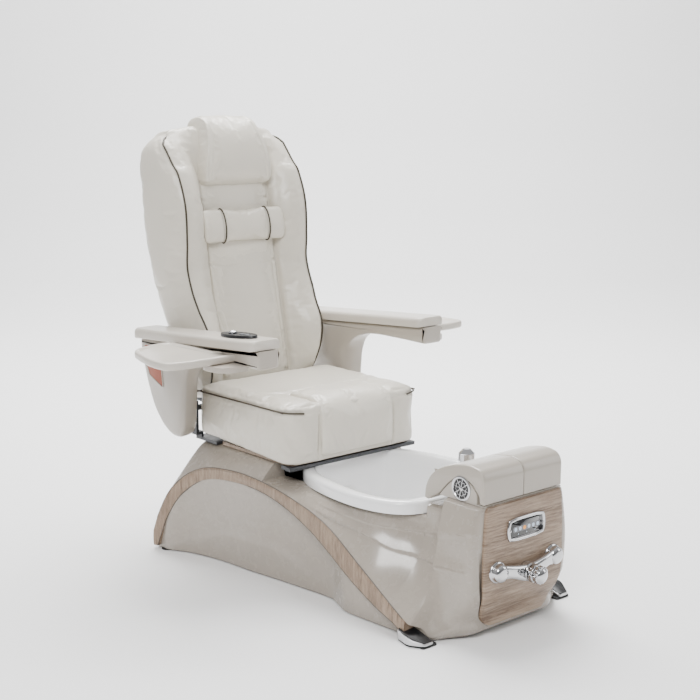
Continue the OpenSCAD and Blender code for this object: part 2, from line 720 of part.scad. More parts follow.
module roller_arm() {
    leaned() {
        difference() {
            union() {
                translate([52, 92, 400]) rotate([0, 90, 0]) cylinder(h = 16, r = 11);
                hull() {
                    translate([54, 84, 404]) cube([12, 4, 8], center = true);
                    translate([58, 68, 452]) cube([10, 8, 8], center = true);
                }
                hull() {
                    translate([54, 84, 396]) cube([12, 4, 8], center = true);
                    translate([58, 68, 348]) cube([10, 8, 8], center = true);
                }
            }
            translate([40, 92, 400]) rotate([0, 90, 0]) cylinder(h = 40, r = 5.05);
        }
        for (w = [344, 456]) {
            translate([44, 60, w]) rotate([0, 90, 0]) cylinder(h = 28, r = 22);
        }
    }
}
module roller_arm_right() { color([0.85, 0.75, 0.55]) roller_arm(); }
module roller_arm_left() { color([0.85, 0.75, 0.55]) mirror([1, 0, 0]) roller_arm(); }

module neck_pillow() {
    color([0.88, 0.86, 0.82]) leaned() intersection() {
        translate([-141, -4, 594]) rotate([0, 90, 0]) cylinder(h = 282, r = 56);
        bar([-150, -70, 530], [150, -13, 660]);
    }
}

// ---- arms ----
module arm_outline() {
    polygon([
        [94, 740], [130, 738], [752, 698], [744, 640], [706, 542], [667, 462], [619, 415], [565, 397],
        [528, 402], [510, 440], [500, 520], [492, 600], [470, 648], [440, 670], [390, 682], [330, 688],
        [200, 686], [94, 684]
    ]);
}
module arm() {
    placed() difference() {
        union() {
            slab_yz(arm_in, arm_out) arm_outline();
            // bracket that carries the tray
            bar([arm_out - 5, 162, 676], [tray_pin[0], 278, 693]);
            bar([tray_pin[0] - 1, 198, 676], [tray_pin[0] + 36, 242, 693]);
            for (y = [198, 242]) {
                translate([tray_pin[0], y, 676]) cylinder(h = 17, r = 36);
            }
            translate([tray_pin[0], tray_pin[1], 690]) cylinder(h = 20, r = 8);
        }
        translate([arm_in - 5, shaft_y, shaft_z]) rotate([0, 90, 0]) cylinder(h = 60, r = shaft_r + 0.05);
    }
}
module purse_outline(grow) {
    offset(delta = grow) polygon([[722, 680], [634, 686], [617, 554], [694, 585], [714, 623]]);
}
module arm_right() { color([0.83, 0.81, 0.78]) arm(); }
module arm_left() {
    color([0.83, 0.81, 0.78]) difference() {
        mirror([1, 0, 0]) arm();
        placed() slab_yz(-arm_out - 1, 14 - arm_out) purse_outline(0.5);
    }
}
module arm_pad() {
    placed() difference() {
        slab_yz(285, 398) polygon([
            [100, 741], [752, 699.5], [766, 712], [764, 728], [752, 699.5 + pad_t - 4], [420, 757],
            [120, 741 + pad_t], [102, 738 + pad_t]
        ]);
        translate([0, 0, 690]) linear_extrude(100) difference() {
            translate([280, 90]) square([130, 70]);
            round_rect(285, 100, 376, 240, 32);
        }
    }
}
module arm_pad_right() { color([0.84, 0.82, 0.79]) arm_pad(); }
module arm_pad_left() {
    color([0.84, 0.82, 0.79]) difference() {
        mirror([1, 0, 0]) arm_pad();
        on_pad() linear_extrude(60) scale([0.44, 1]) circle(r = 86);
    }
}
module on_pad() { placed() translate([-340, 245, 747]) rotate([-3.6, 0, 0]) children(); }
module arm_control() {
    color([0.08, 0.08, 0.09]) on_pad() difference() {
        translate([0, 0, 1]) linear_extrude(20) scale([0.42, 1]) circle(r = 84);
        for (y = [-44, -16]) {
            translate([0, y, 12]) cylinder(h = 12, r = 9.3);
        }
        translate([0, 30, 12]) cylinder(h = 12, r = 4.05);
    }
}
module key(y) { on_pad() translate([0, y, 14.5]) cylinder(h = 9, r = 9); }
module key_raise() { color([0.6, 0.6, 0.62]) key(-44); }
module key_lower() { color([0.6, 0.6, 0.62]) key(-16); }
module control_dial() {
    color("silver") on_pad() translate([0, 30, 0]) {
        translate([0, 0, 13]) cylinder(h = 10, r = 4);
        translate([0, 0, 21.5]) cylinder(h = 7, r = 14);
    }
}

module purse_panel() {
    color([0.55, 0.25, 0.18]) placed() slab_yz(-arm_out + 8, 13.6 - arm_out) purse_outline(0);
}
module purse_hook() {
    color("silver") placed() translate([6 - arm_out, 668, 632]) {
        rotate([90, 0, 0]) translate([0, 0, -14]) cylinder(h = 28, r = 2);
        for (s = [-1, 1]) {
            translate([-2, s * 11, -32]) cylinder(h = 32, r = 2);
        }
        translate([-2, -11, -32]) rotate([-90, 0, 0]) cylinder(h = 22, r = 2);
    }
}

// ---- trays ----
module tray_outline(r) {
    hull() for (p = [[430, 244], [566, 252], [584, 300], [536, 470], [444, 506]]) {
        translate(p) circle(r = r);
    }
}
module tray() {
    placed() difference() {
        translate([0, 0, 694]) linear_extrude(tray_t) tray_outline(32);
        translate([0, 0, 694 + tray_t - 5]) linear_extrude(10) intersection() {
            tray_outline(20);
            translate([400, 272]) square([220, 400]);
        }
        translate([tray_pin[0], tray_pin[1], 690]) cylinder(h = 22, r = 8.05);
    }
}
module tray_right() { color([0.84, 0.82, 0.79]) tray(); }
module tray_left() { color([0.84, 0.82, 0.79]) mirror([1, 0, 0]) tray(); }

tub_shell();
basin();
drain_fitting();
drain_stopper();
jet_housing();
jet_impeller();
jet_motor();
front_panel();
arch_trim_left();
arch_trim_right();
foot_shoes();
levelling_feet();
steel_frame();
seat_rails();
slide_motor();
drain_pump();
pipework();
control_box();
display_bezel();
display_screen();
mixer_body();
temperature_ring();
flow_knob();
footrest_base();
footrest_pin();
footrest_caps();
footrest_left();
footrest_right();
shower_holder();
hand_shower();
seat_carriage();
slide_rod();
seat_board();
seat_cushion();
seat_front_pad();
recline_motor();
back_frame();
back_shell();
back_cushion();
back_panel();
headrest();
rear_cover();
massage_rails();
massage_carriage();
massage_motor();
roller_arm_left();
roller_arm_right();
neck_pillow();
arm_left();
arm_right();
arm_pad_left();
arm_pad_right();
purse_panel();
purse_hook();
tray_left();
tray_right();
arm_control();
key_raise();
key_lower();
control_dial();
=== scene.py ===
import json
import math

import bmesh
import bpy
import numpy as np
from mathutils import Matrix, Vector


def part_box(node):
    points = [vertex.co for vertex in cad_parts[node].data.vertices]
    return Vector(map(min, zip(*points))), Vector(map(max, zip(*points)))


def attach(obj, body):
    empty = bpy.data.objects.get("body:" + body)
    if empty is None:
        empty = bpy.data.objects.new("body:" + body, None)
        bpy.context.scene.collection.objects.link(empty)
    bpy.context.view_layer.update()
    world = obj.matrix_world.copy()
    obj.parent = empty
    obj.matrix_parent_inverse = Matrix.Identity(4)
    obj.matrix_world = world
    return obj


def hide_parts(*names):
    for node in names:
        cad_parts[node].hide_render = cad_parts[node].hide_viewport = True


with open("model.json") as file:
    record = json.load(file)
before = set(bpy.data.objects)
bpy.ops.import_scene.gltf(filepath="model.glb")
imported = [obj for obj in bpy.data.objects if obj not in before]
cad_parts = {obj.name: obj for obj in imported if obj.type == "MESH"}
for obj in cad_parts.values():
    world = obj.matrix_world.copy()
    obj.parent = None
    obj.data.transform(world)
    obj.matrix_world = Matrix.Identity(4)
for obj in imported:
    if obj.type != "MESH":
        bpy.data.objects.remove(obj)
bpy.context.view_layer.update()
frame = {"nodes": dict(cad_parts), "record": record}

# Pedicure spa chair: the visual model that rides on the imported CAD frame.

NODES = frame["nodes"]
BODY = {n: b for b, ns in frame["record"]["behaviour"]["bodies"].items() for n in ns}
LEAN = Matrix.Translation((0, 0.470, 0.470)) @ Matrix.Rotation(math.radians(-11), 4, "X")
MM = 0.001

# ---------------------------------------------------------------- numbers and curves


def at(x, y, z):
    """A point of the drawing, in millimetres, as a point of the frame."""
    return Vector((x * MM, (y - 130) * MM, z * MM))


def leaned(x, d, w):
    """A point on the backrest: across, depth and height along the lean, in millimetres."""
    return LEAN @ Vector((x * MM, d * MM, w * MM))


def lerp(a, b, t):
    return a + (b - a) * t


def ease(t):
    t = min(max(t, 0.0), 1.0)
    return t * t * (3 - 2 * t)


def smooth(x, k):
    """A smooth curve through the knots k, read at x."""
    i = 0
    while i < len(k) - 2 and x >= k[i + 1][0]:
        i += 1
    h = k[i + 1][0] - k[i][0]
    t = min(max((x - k[i][0]) / h, 0), 1)

    def rise(j):
        a, b = max(j - 1, 0), min(j + 1, len(k) - 1)
        return (k[b][1] - k[a][1]) / (k[b][0] - k[a][0])

    p, q, m, n = k[i][1], k[i + 1][1], rise(i) * h, rise(i + 1) * h
    return p + m * t + (3 * (q - p) - 2 * m - n) * t * t + (2 * (p - q) + m + n) * t ** 3


def spread(a, b, n):
    return [lerp(a, b, i / (n - 1)) for i in range(n)]


def rounded(points, r, n=5):
    """A closed outline with its corners rounded; r is one radius or one for each corner."""
    out = []
    count = len(points)
    for i in range(count):
        p, a, b = (Vector(points[(i + k) % count]) for k in (0, -1, 1))
        ri = r[i] if isinstance(r, (list, tuple)) else r
        u, v = a - p, b - p
        reach = min(ri, u.length * 0.48, v.length * 0.48)
        if reach < 0.01:
            out.append(p)
            continue
        s, e = p + u.normalized() * reach, p + v.normalized() * reach
        for j in range(n + 1):
            t = j / n
            out.append((1 - t) ** 2 * s + 2 * t * (1 - t) * p + t * t * e)
    return out


def inset(points, k):
    """A closed flat outline moved inwards by k."""
    count = len(points)
    area = sum(points[i][0] * points[(i + 1) % count][1] - points[(i + 1) % count][0] * points[i][1] for i in range(count))
    sign = 1 if area > 0 else -1
    out = []
    for i in range(count):
        a, b = points[i - 1], points[(i + 1) % count]
        t = Vector((b[0] - a[0], b[1] - a[1])).normalized()
        out.append(Vector((points[i][0] - sign * k * t.y, points[i][1] + sign * k * t.x)))
    return out


# ---------------------------------------------------------------- meshes


def solid(name, verts, faces):
    mesh = bpy.data.meshes.new(name)
    mesh.from_pydata([tuple(v) for v in verts], [], faces)
    mesh.update()
    obj = bpy.data.objects.new(name, mesh)
    bpy.context.scene.collection.objects.link(obj)
    return obj


def tidy_normals(obj):
    bm = bmesh.new()
    bm.from_mesh(obj.data)
    bmesh.ops.remove_doubles(bm, verts=bm.verts, dist=0.00002)
    bmesh.ops.recalc_face_normals(bm, faces=bm.faces)
    bm.to_mesh(obj.data)
    bm.free()
    return obj


def soften(obj, angle=35):
    obj.data.polygons.foreach_set("use_smooth", [True] * len(obj.data.polygons))
    obj.data.set_sharp_from_angle(angle=math.radians(angle))
    obj.data.update()
    return obj


def loft(name, rings, caps=True, wrap=True, angle=35):
    """A skin over rings of points that all have the same length."""
    n = len(rings[0])
    verts = [p for r in rings for p in r]
    faces = []
    for i in range(len(rings) - 1):
        for j in range(n if wrap else n - 1):
            k = (j + 1) % n
            faces.append((i * n + j, i * n + k, (i + 1) * n + k, (i + 1) * n + j))
    if caps:
        faces.append(tuple(range(n - 1, -1, -1)))
        faces.append(tuple((len(rings) - 1) * n + j for j in range(n)))
    return soften(tidy_normals(solid(name, verts, faces)), angle)


def applied(obj):
    """Applies the modifiers of obj."""
    dg = bpy.context.evaluated_depsgraph_get()
    mesh = bpy.data.meshes.new_from_object(obj.evaluated_get(dg))
    obj.modifiers.clear()
    old = obj.data
    obj.data = mesh
    bpy.data.meshes.remove(old)
    return obj


def bevelled(obj, width, segments=4, angle=30, sharp=50):
    m = obj.modifiers.new("edges", "BEVEL")
    m.width = width * MM
    m.segments = segments
    m.limit_method = "ANGLE"
    m.angle_limit = math.radians(angle)
    m.use_clamp_overlap = True
    return soften(applied(obj), sharp)


def extruded(name, outline, lo, hi, plane, width=0, segments=4, sharp=50):
    """A flat outline made solid between lo and hi along the axis that plane leaves out."""
    put = {
        "yz": lambda p, k: at(k, p[0], p[1]),
        "xz": lambda p, k: at(p[0], k, p[1]),
        "xy": lambda p, k: at(p[0], p[1], k),
        "lean_xw": lambda p, k: leaned(p[0], k, p[1]),
    }[plane]
    obj = loft(name, [[put(p, k) for p in outline] for k in (lo, hi)])
    return bevelled(obj, width, segments, sharp=sharp) if width else obj


def turned(name, profile, centre, axis, n=48, angle=40):
    """A turned piece: profile lists (radius, distance along the axis) from centre."""
    side = axis.orthogonal().normalized()
    other = axis.cross(side)
    rings = []
    for r, d in profile:
        ring = []
        for i in range(n):
            a = 2 * math.pi * i / n
            ring.append(centre + axis * d * MM + (side * math.cos(a) + other * math.sin(a)) * max(r, 0.01) * MM)
        rings.append(ring)
    return loft(name, rings, angle=angle)


def tube(name, points, r, closed=False, around=10):
    """A round tube along points of the frame."""
    pts = [Vector(p) for p in points]
    rings = []
    last = None
    n = len(pts)
    for i, p in enumerate(pts):
        a = pts[i - 1] if i or closed else p
        b = pts[(i + 1) % n] if i < n - 1 or closed else p
        t = (b - a).normalized()
        if last is None:
            last = t.orthogonal().normalized()
        last = (last - t * last.dot(t)).normalized()
        side = t.cross(last)
        rings.append([p + (last * math.cos(2 * math.pi * k / around) + side * math.sin(2 * math.pi * k / around)) * r * MM for k in range(around)])
    if closed:
        rings.append(rings[0])
    return loft(name, rings, caps=not closed, angle=60)


def along(points, step):
    """Points at even steps along a smooth curve through the given ones."""
    pts = [Vector(p) for p in points]
    fine = []
    for i in range(len(pts) - 1):
        p0, p1, p2, p3 = pts[max(i - 1, 0)], pts[i], pts[i + 1], pts[min(i + 2, len(pts) - 1)]
        for j in range(16):
            t = j / 16
            fine.append(0.5 * (2 * p1 + (p2 - p0) * t + (2 * p0 - 5 * p1 + 4 * p2 - p3) * t * t + (3 * p1 - p0 - 3 * p2 + p3) * t ** 3))
    fine.append(pts[-1])
    out, gone = [fine[0]], 0.0
    for a, b in zip(fine, fine[1:]):
        gone += (b - a).length
        if gone >= step:
            out.append(b)
            gone = 0.0
    if (out[-1] - fine[-1]).length > step * 0.3:
        out.append(fine[-1])
    return out


def joined(name, objs):
    """One object from several."""
    bm = bmesh.new()
    for o in objs:
        o.data.transform(o.matrix_world)
        bm.from_mesh(o.data)
    mesh = bpy.data.meshes.new(name)
    bm.to_mesh(mesh)
    bm.free()
    for o in objs:
        bpy.data.objects.remove(o)
    obj = bpy.data.objects.new(name, mesh)
    bpy.context.scene.collection.objects.link(obj)
    return obj


def copy_mirrored(obj, name):
    """The same piece on the other side of the chair."""
    mesh = obj.data.copy()
    mesh.transform(Matrix.Scale(-1, 4, (1, 0, 0)))
    mesh.flip_normals()
    twin = bpy.data.objects.new(name, mesh)
    bpy.context.scene.collection.objects.link(twin)
    return twin


def points_of(obj):
    co = np.zeros(len(obj.data.vertices) * 3)
    obj.data.vertices.foreach_get("co", co)
    return co.reshape(-1, 3)


def normals_of(obj):
    n = np.zeros(len(obj.data.vertices) * 3)
    obj.data.vertices.foreach_get("normal", n)
    return n.reshape(-1, 3)


def set_points(obj, co):
    obj.data.vertices.foreach_set("co", co.astype(np.float32).ravel())
    obj.data.update()


def far_from(co, line):
    """Distance of every point from a line of points."""
    best = np.full(len(co), 1e9)
    pts = [np.array(p, float) for p in line]
    for a, b in zip(pts, pts[1:]):
        d = b - a
        t = np.clip(((co - a) @ d) / max(d @ d, 1e-12), 0, 1)
        best = np.minimum(best, np.linalg.norm(co - a - t[:, None] * d, axis=1))
    return best


def grooved(obj, line, width, depth, lip=0.25):
    """Presses a stitched channel into obj along line, with the filling rising beside it."""
    co, n = points_of(obj), normals_of(obj)
    u = far_from(co, line) / (width * MM)
    push = -depth * np.exp(-(u * 2.2) ** 2) + depth * lip * np.exp(-((u - 1.5) * 1.6) ** 2)
    set_points(obj, co + n * (push * MM)[:, None])


def laid(obj, line):
    """The line's points moved onto the nearest points of the object."""
    co = points_of(obj)
    return [Vector(co[((co - np.array(p)) ** 2).sum(1).argmin()]) for p in line]


def dressed(obj, body, slot, material, *stands_for):
    """Gives a piece its finish and its body, and hides the CAD nodes it stands for."""
    obj.data.materials.clear()
    obj.data.materials.append(material)
    if stands_for:
        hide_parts(*stands_for)
    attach(obj, body)
    return obj


# ---------------------------------------------------------------- stuffing


def skinned(obj, voxel):
    m = obj.modifiers.new("skin", "REMESH")
    m.mode = "VOXEL"
    m.voxel_size = voxel * MM
    m.use_smooth_shade = True
    return applied(obj)


def relaxed(obj, times, factor=0.5):
    m = obj.modifiers.new("relax", "SMOOTH")
    m.iterations = times
    m.factor = factor
    return applied(obj)


def stuffed(obj, voxel, seams, pressure=4.0, cap=22, growth=0.02, held=None, finer=1, frames=20):
    """Blows a closed cover up by cloth simulation, held along its seams."""
    skinned(obj, voxel)
    rest = points_of(obj)
    pins = np.zeros(len(rest), bool)
    for line in seams:
        pins |= far_from(rest, line) < voxel * 1.1 * MM
    if held is not None:
        pins |= held(rest)
    group = obj.vertex_groups.new(name="held")
    group.add([int(i) for i in np.nonzero(pins)[0]], 1.0, "REPLACE")
    m = obj.modifiers.new("cloth", "CLOTH")
    s = m.settings
    s.quality = 4
    s.mass = 0.25
    s.tension_stiffness = s.compression_stiffness = 18
    s.shear_stiffness = 8
    s.bending_stiffness = 0.9
    s.air_damping = 6
    s.use_pressure = True
    s.uniform_pressure_force = pressure
    s.shrink_min = -growth
    s.effector_weights.gravity = 0
    s.vertex_group_mass = "held"
    m.collision_settings.use_collision = False
    m.point_cache.frame_start, m.point_cache.frame_end = 1, frames
    scene = bpy.context.scene
    for f in range(1, frames + 1):
        scene.frame_set(f)
    dg = bpy.context.evaluated_depsgraph_get()
    moved = np.zeros(len(rest) * 3)
    obj.evaluated_get(dg).data.vertices.foreach_get("co", moved)
    moved = moved.reshape(-1, 3)
    obj.modifiers.clear()
    obj.vertex_groups.clear()
    step = moved - rest
    size = np.linalg.norm(step, axis=1)
    step *= (np.minimum(size, cap * MM) / np.maximum(size, 1e-9))[:, None]
    set_points(obj, rest + step)
    scene.frame_set(1)
    if finer:
        m = obj.modifiers.new("finer", "SUBSURF")
        m.levels = m.render_levels = finer
        applied(obj)
    obj.data.polygons.foreach_set("use_smooth", [True] * len(obj.data.polygons))
    return obj


# ---------------------------------------------------------------- finishes


class Nodes:
    """A short way to lay out one node material."""

    def __init__(self, name):
        self.mat = bpy.data.materials.new(name)
        self.mat.use_nodes = True
        self.tree = self.mat.node_tree
        self.shader = self.tree.nodes["Principled BSDF"]

    def add(self, kind, links=None, **values):
        node = self.tree.nodes.new(kind)
        for key, value in values.items():
            if key in node.inputs:
                node.inputs[key].default_value = value
            else:
                setattr(node, key, value)
        for key, source in (links or {}).items():
            self.tree.links.new(source, node.inputs[key])
        return node

    def put(self, socket, value):
        if isinstance(value, bpy.types.NodeSocket):
            self.tree.links.new(value, self.shader.inputs[socket])
        else:
            self.shader.inputs[socket].default_value = value

    def place(self, scale=(1, 1, 1), uv=False):
        coord = self.add("ShaderNodeTexCoord")
        return self.add("ShaderNodeMapping", {"Vector": coord.outputs["UV" if uv else "Object"]}, Scale=scale).outputs[0]

    def grain(self, scale, detail=3, rough=0.55, place=None, distortion=0.0):
        return self.add(
            "ShaderNodeTexNoise", {"Vector": place or self.place()},
            Scale=scale, Detail=detail, Roughness=rough, Distortion=distortion).outputs["Fac"]

    def span(self, value, low, high, start=0.0, end=1.0):
        return self.add("ShaderNodeMapRange", {"Value": value}, **{
            "From Min": start, "From Max": end, "To Min": low, "To Max": high}).outputs[0]

    def mixed(self, factor, a, b):
        node = self.add("ShaderNodeMix", {"Factor": factor}, data_type="RGBA")
        for index, value in ((6, a), (7, b)):
            if isinstance(value, bpy.types.NodeSocket):
                self.tree.links.new(value, node.inputs[index])
            else:
                node.inputs[index].default_value = (*value, 1)
        return node.outputs[2]

    def bumped(self, height, strength, distance=0.001, under=None):
        node = self.add("ShaderNodeBump", {"Height": height}, Strength=strength, Distance=distance)
        if under:
            self.tree.links.new(under, node.inputs["Normal"])
        return node.outputs[0]


def tint(r, g, b):
    """A screen colour, 0 to 255, as linear light."""
    return tuple((c / 255 / 12.92) if c <= 10 else ((c / 255 + 0.055) / 1.055) ** 2.4 for c in (r, g, b))


def moulded(name, colour, rough=0.3, coat=0.0, orange_peel=0.15, mottle=0.03, metal=0.0, specular=0.5):
    """Plastic, gel coat or paint with a faint unevenness."""
    m = Nodes(name)
    dark = tuple(c * (1 - mottle) for c in colour)
    m.put("Base Color", m.mixed(m.grain(9, 2), dark, colour))
    m.put("Roughness", m.span(m.grain(40, 3), rough * 0.88, rough * 1.12))
    m.put("Metallic", metal)
    m.put("Specular IOR Level", specular)
    m.put("Coat Weight", coat)
    m.put("Coat Roughness", 0.12)
    m.put("Normal", m.bumped(m.grain(260, 2), orange_peel, 0.0002))
    return m.mat


def leather(name, colour, rough=0.42, crease=0.35):
    """Upholstery leather: pebbled, with faint stretch creases and a pearly sheen."""
    m = Nodes(name)
    cells = m.add("ShaderNodeTexVoronoi", {"Vector": m.place()}, Scale=620.0, feature="SMOOTH_F1").outputs["Distance"]
    folds = m.grain(26, 5, 0.62, distortion=0.8)
    m.put("Base Color", m.mixed(m.span(m.grain(6, 3), 0, 1, 0.3, 0.7), tuple(c * 0.955 for c in colour), colour))
    m.put("Roughness", m.span(folds, rough * 0.85, rough * 1.2, 0.3, 0.7))
    m.put("Sheen Weight", 0.12)
    m.put("Sheen Roughness", 0.35)
    m.put("Coat Weight", 0.12)
    m.put("Coat Roughness", 0.3)
    fine = m.bumped(cells, 0.22, 0.0003)
    m.put("Normal", m.bumped(folds, crease, 0.0012, fine))
    return m.mat


def oak(name, stretch, uv=False):
    """Bleached oak laminate with long grain and darker streaks."""
    m = Nodes(name)
    where = m.place(stretch, uv)
    broad = m.grain(2.2, 4, 0.6, where, 0.6)
    fine = m.grain(11, 6, 0.7, where, 0.25)
    pores = m.span(m.grain(34, 3, 0.75, where), 0, 1, 0.56, 0.74)
    base = m.mixed(m.span(broad, 0, 1, 0.36, 0.64), tint(104, 82, 64), tint(152, 130, 110))
    base = m.mixed(m.span(fine, 0, 0.75, 0.44, 0.66), base, tint(176, 156, 136))
    base = m.mixed(m.span(pores, 0, 0.75), base, tint(88, 70, 57))
    m.put("Base Color", base)
    m.put("Roughness", m.span(fine, 0.36, 0.5))
    m.put("Normal", m.bumped(fine, 0.2, 0.0004))
    return m.mat


def polished(name, colour, rough):
    m = Nodes(name)
    m.put("Base Color", (*colour, 1))
    m.put("Metallic", 1.0)
    m.put("Roughness", m.span(m.grain(30, 3), rough * 0.7, rough * 1.4))
    return m.mat


LEATHER = leather("ivory_leather", tint(214, 208, 195), 0.34, 0.6)
PANEL = leather("ivory_panel", tint(219, 213, 200), 0.32, 0.4)
PIPING = moulded("piping_olive", tint(58, 50, 36), 0.45)
THREAD = moulded("thread", tint(222, 217, 206), 0.7)
SHELL = moulded("shell_gelcoat", tint(160, 151, 140), 0.27, coat=0.5, orange_peel=0.05)
TRIM = moulded("arm_gelcoat", tint(172, 164, 153), 0.3, coat=0.4, orange_peel=0.05)
# A lighter copy of the trim gelcoat for the arm pads and trays: painted light for their lit tops, since they are the
# same plastic as the arm supports.
TRIM_PAINTED_LIGHT = moulded("trim_gelcoat_painted_light", tint(200, 193, 182), 0.36, coat=0.3, orange_peel=0.05)
ACRYLIC = moulded("basin_acrylic", tint(246, 246, 246), 0.12, coat=0.8, orange_peel=0.02, mottle=0.01)
OAK_FRONT = oak("oak_front", (1.2, 1.2, 16))
OAK_BAND = oak("oak_band", (34, 3, 1), uv=True)
# Dark grey for the lines along the arch edges, which are painted shade, and for the joint line under the arm pads.
SHADE_AND_SEAM = moulded("shade_and_seam_grey", tint(96, 90, 84), 0.5)
CHROME = polished("chrome", (0.56, 0.56, 0.57), 0.06)
BRUSHED = polished("brushed", (0.62, 0.62, 0.63), 0.3)
STEEL = moulded("painted_steel", tint(52, 54, 58), 0.4)
ZINC = polished("zinc_steel", (0.2, 0.2, 0.21), 0.4)
RUBBER = moulded("black_rubber", tint(26, 26, 27), 0.7, orange_peel=0.4)
BLACK = moulded("black_plastic", tint(24, 24, 26), 0.36)
GREY_KEY = moulded("key_grey", tint(92, 94, 98), 0.5)
GLASS = moulded("screen_glass", tint(12, 13, 16), 0.06, coat=1.0, orange_peel=0.0)
WHITE = moulded("white_plastic", tint(238, 238, 236), 0.3)
PIPE = moulded("pipe_plastic", tint(196, 198, 202), 0.4)
PUMP = moulded("pump_body", tint(54, 74, 96), 0.45)
PLY = oak("plywood", (30, 3, 3))
TERRACOTTA = moulded("terracotta", tint(150, 76, 52), 0.42)
ROLLER = moulded("roller_plastic", tint(214, 190, 140), 0.4)
GREY_BAND = moulded("display_grey", tint(120, 122, 126), 0.3)


def glow(name, colour, strength):
    m = Nodes(name)
    m.put("Base Color", (*colour, 1))
    m.put("Emission Color", (*colour, 1))
    m.put("Emission Strength", m.span(m.grain(3), strength * 0.95, strength * 1.05))
    return m.mat


ICON = glow("icon_light", tint(176, 190, 205), 0.5)
ICON_WARM = glow("icon_warm", tint(222, 150, 70), 0.6)

# ---------------------------------------------------------------- tub shell

TOP_X_FRONT = [[-610, 168], [-590, 176], [-480, 174]]
TOP_X = [[-470, 150], [-400, 158], [-345, 176], [-290, 212], [-235, 234], [196, 236], [210, 250], [560, 250], [664, 268]]
ARCH_X = [[-540, 302], [-470, 308], [-250, 304], [200, 300], [400, 312], [500, 335], [580, 372], [640, 404], [672, 420]]
FOOT_X = [[-610, 160], [-580, 196], [-555, 228], [-540, 248], [-510, 262], [-411, 278], [-279, 289], [-191, 292],
          [-137, 273], [-87, 257], [99, 275], [248, 297], [411, 315], [531, 345], [600, 380], [664, 394]]
ARCH_HI = [[-540, 14], [-496, 40], [-369, 111], [-263, 170], [-116, 251], [39, 290], [205, 312], [356, 315],
           [500, 292], [590, 218], [640, 110], [664, 20]]
ARCH_LO = [[-455, 16], [-423, 37], [-335, 66], [-227, 114], [-116, 176], [-39, 214], [80, 255], [206, 278],
           [357, 280], [480, 258], [560, 196], [610, 108], [640, 12]]
FLARE = [[-610, 4], [-470, 4], [-400, 3], [-300, 1.7], [-150, 1.1], [0, 0.8], [664, 0.8]]
CREASE_A = [[-600, 318], [-547, 308], [-434, 276], [-365, 269], [-310, 272], [-243, 278], [-172, 284], [-79, 293], [60, 311]]
CREASE_B = [[-600, 217], [-511, 209], [-431, 199], [-377, 208], [-326, 218], [-256, 246], [-146, 267], [-73, 279], [60, 303]]
SOFT_ARC = [[-150, -10], [-102, 10], [-21, 41], [62, 76], [148, 100], [236, 108], [319, 107], [395, 97], [473, 74],
            [575, 30], [650, -32]]


def top_z(y):
    if y < -475:
        return 388
    if y < -393:
        return 350
    if y < 198:
        return 313.7
    return min(365, smooth(y, [[200, 365], [563, 365], [600, 322], [635, 268], [664, 215]]))


def top_x(y):
    return smooth(y, TOP_X_FRONT) if y < -475 else smooth(y, TOP_X)


def side_x(y):
    return lerp(smooth(y, FOOT_X), smooth(y, ARCH_X) - 3, ease((y + 505) / 40))


def side_z(y):
    front = smooth(y, [[-610, 60], [-580, 40], [-540, 14], [-500, 24]])
    return lerp(front, smooth(y, ARCH_HI), ease((y + 520) / 30))


def recede(z):
    return 52 * max(0, (140 - z) / 110) ** 1.5 - 26 * math.exp(-((z - 24) / 26) ** 2)


def fore(y):
    return min(max((-470 - y) / 130, 0), 1)


def shelf(d, reach=26, drop=8):
    """A crease's swelling: it rises slowly from above and falls off sharply below."""
    return math.exp(-d / reach) if d >= 0 else ease(1 + d / drop)


def side_ring(y):
    """Right-hand section of the shell, from its inner lip over the edge and down to the floor."""
    top, edge_x, low_x, low_z = top_z(y), top_x(y), side_x(y), side_z(y)
    power = smooth(y, FLARE)
    swell = 24 * ease((-400 - y) / 70)
    round_r = 13
    end = 14
    near = min(y + 610, 664 - y)
    pull = end - math.sqrt(max(end * end - max(end - near, 0) ** 2, 0)) if near < end else 0
    inner = 206 if -391 < y < 198 else 216 if 198 <= y < 545 else 0
    lip = min(inner, edge_x - 14)
    ring = [(lip, top - (12 if inner else 0)), (lip, top), (edge_x - 13.5, top)]
    fade_a = ease((20 - y) / 140) * ease((y + 606) / 40)
    fade_b = ease((35 - y) / 160) * ease((y + 606) / 30)
    for i in range(72):
        s = (i / 71) ** 0.94
        z = lerp(top, low_z, s)
        x = lerp(edge_x, low_x, s ** power) + swell * math.sin(math.pi * s)
        down = top - z
        if down < round_r:
            x -= round_r - math.sqrt(max(round_r ** 2 - (round_r - down) ** 2, 0))
        x += 5.5 * fade_a * shelf(z - smooth(y, CREASE_A))
        x += 7.5 * fade_b * shelf(z - smooth(y, CREASE_B), 20, 10)
        ring.append((x, z))
    low = smooth(y, FOOT_X)
    step = ease((y + 500) / 50)
    ring += [(lerp(low_x, low_x - 1.5, step), low_z - 3 * step), (lerp(low_x, low + 4, step), low_z - 5 * step)]
    for i in range(22):
        s = i / 21
        z = lerp(low_z - 6 * step, 5, s)
        d = z - smooth(y, SOFT_ARC)
        x = low - 1 + step * ease((y + 60) / 120) * 5 * (shelf(-d, 60, 16) if d < 16 else 0)
        ring.append((x, z))
    return [(max(x - pull, 0) if x > 1 else x, y + fore(y) * recede(z), z) for x, z in ring]


def stations():
    ys = [-610, -609, -606, -602, -597]
    ys += list(range(-590, -476, 8)) + [-475.4, -474.6]
    ys += list(range(-468, -396, 9)) + [-393.4, -392.6, -391.4, -390.6] + list(range(-384, 192, 10))
    ys += [197.4, 198.2] + list(range(206, 544, 12)) + [544.6, 545.4] + list(range(552, 650, 7))
    return ys + [650, 655, 659, 662, 663.4, 664]


def build_shell():
    rings = []
    for y in stations():
        half = side_ring(y)
        rings.append([at(*p) for p in half] + [at(-p[0], p[1], p[2]) for p in reversed(half)])
    obj = loft("shell", rings, caps=True, wrap=False, angle=28)
    return obj


dressed(build_shell(), "base", "shell_plastic", SHELL, "tub_shell")

# ---------------------------------------------------------------- basin


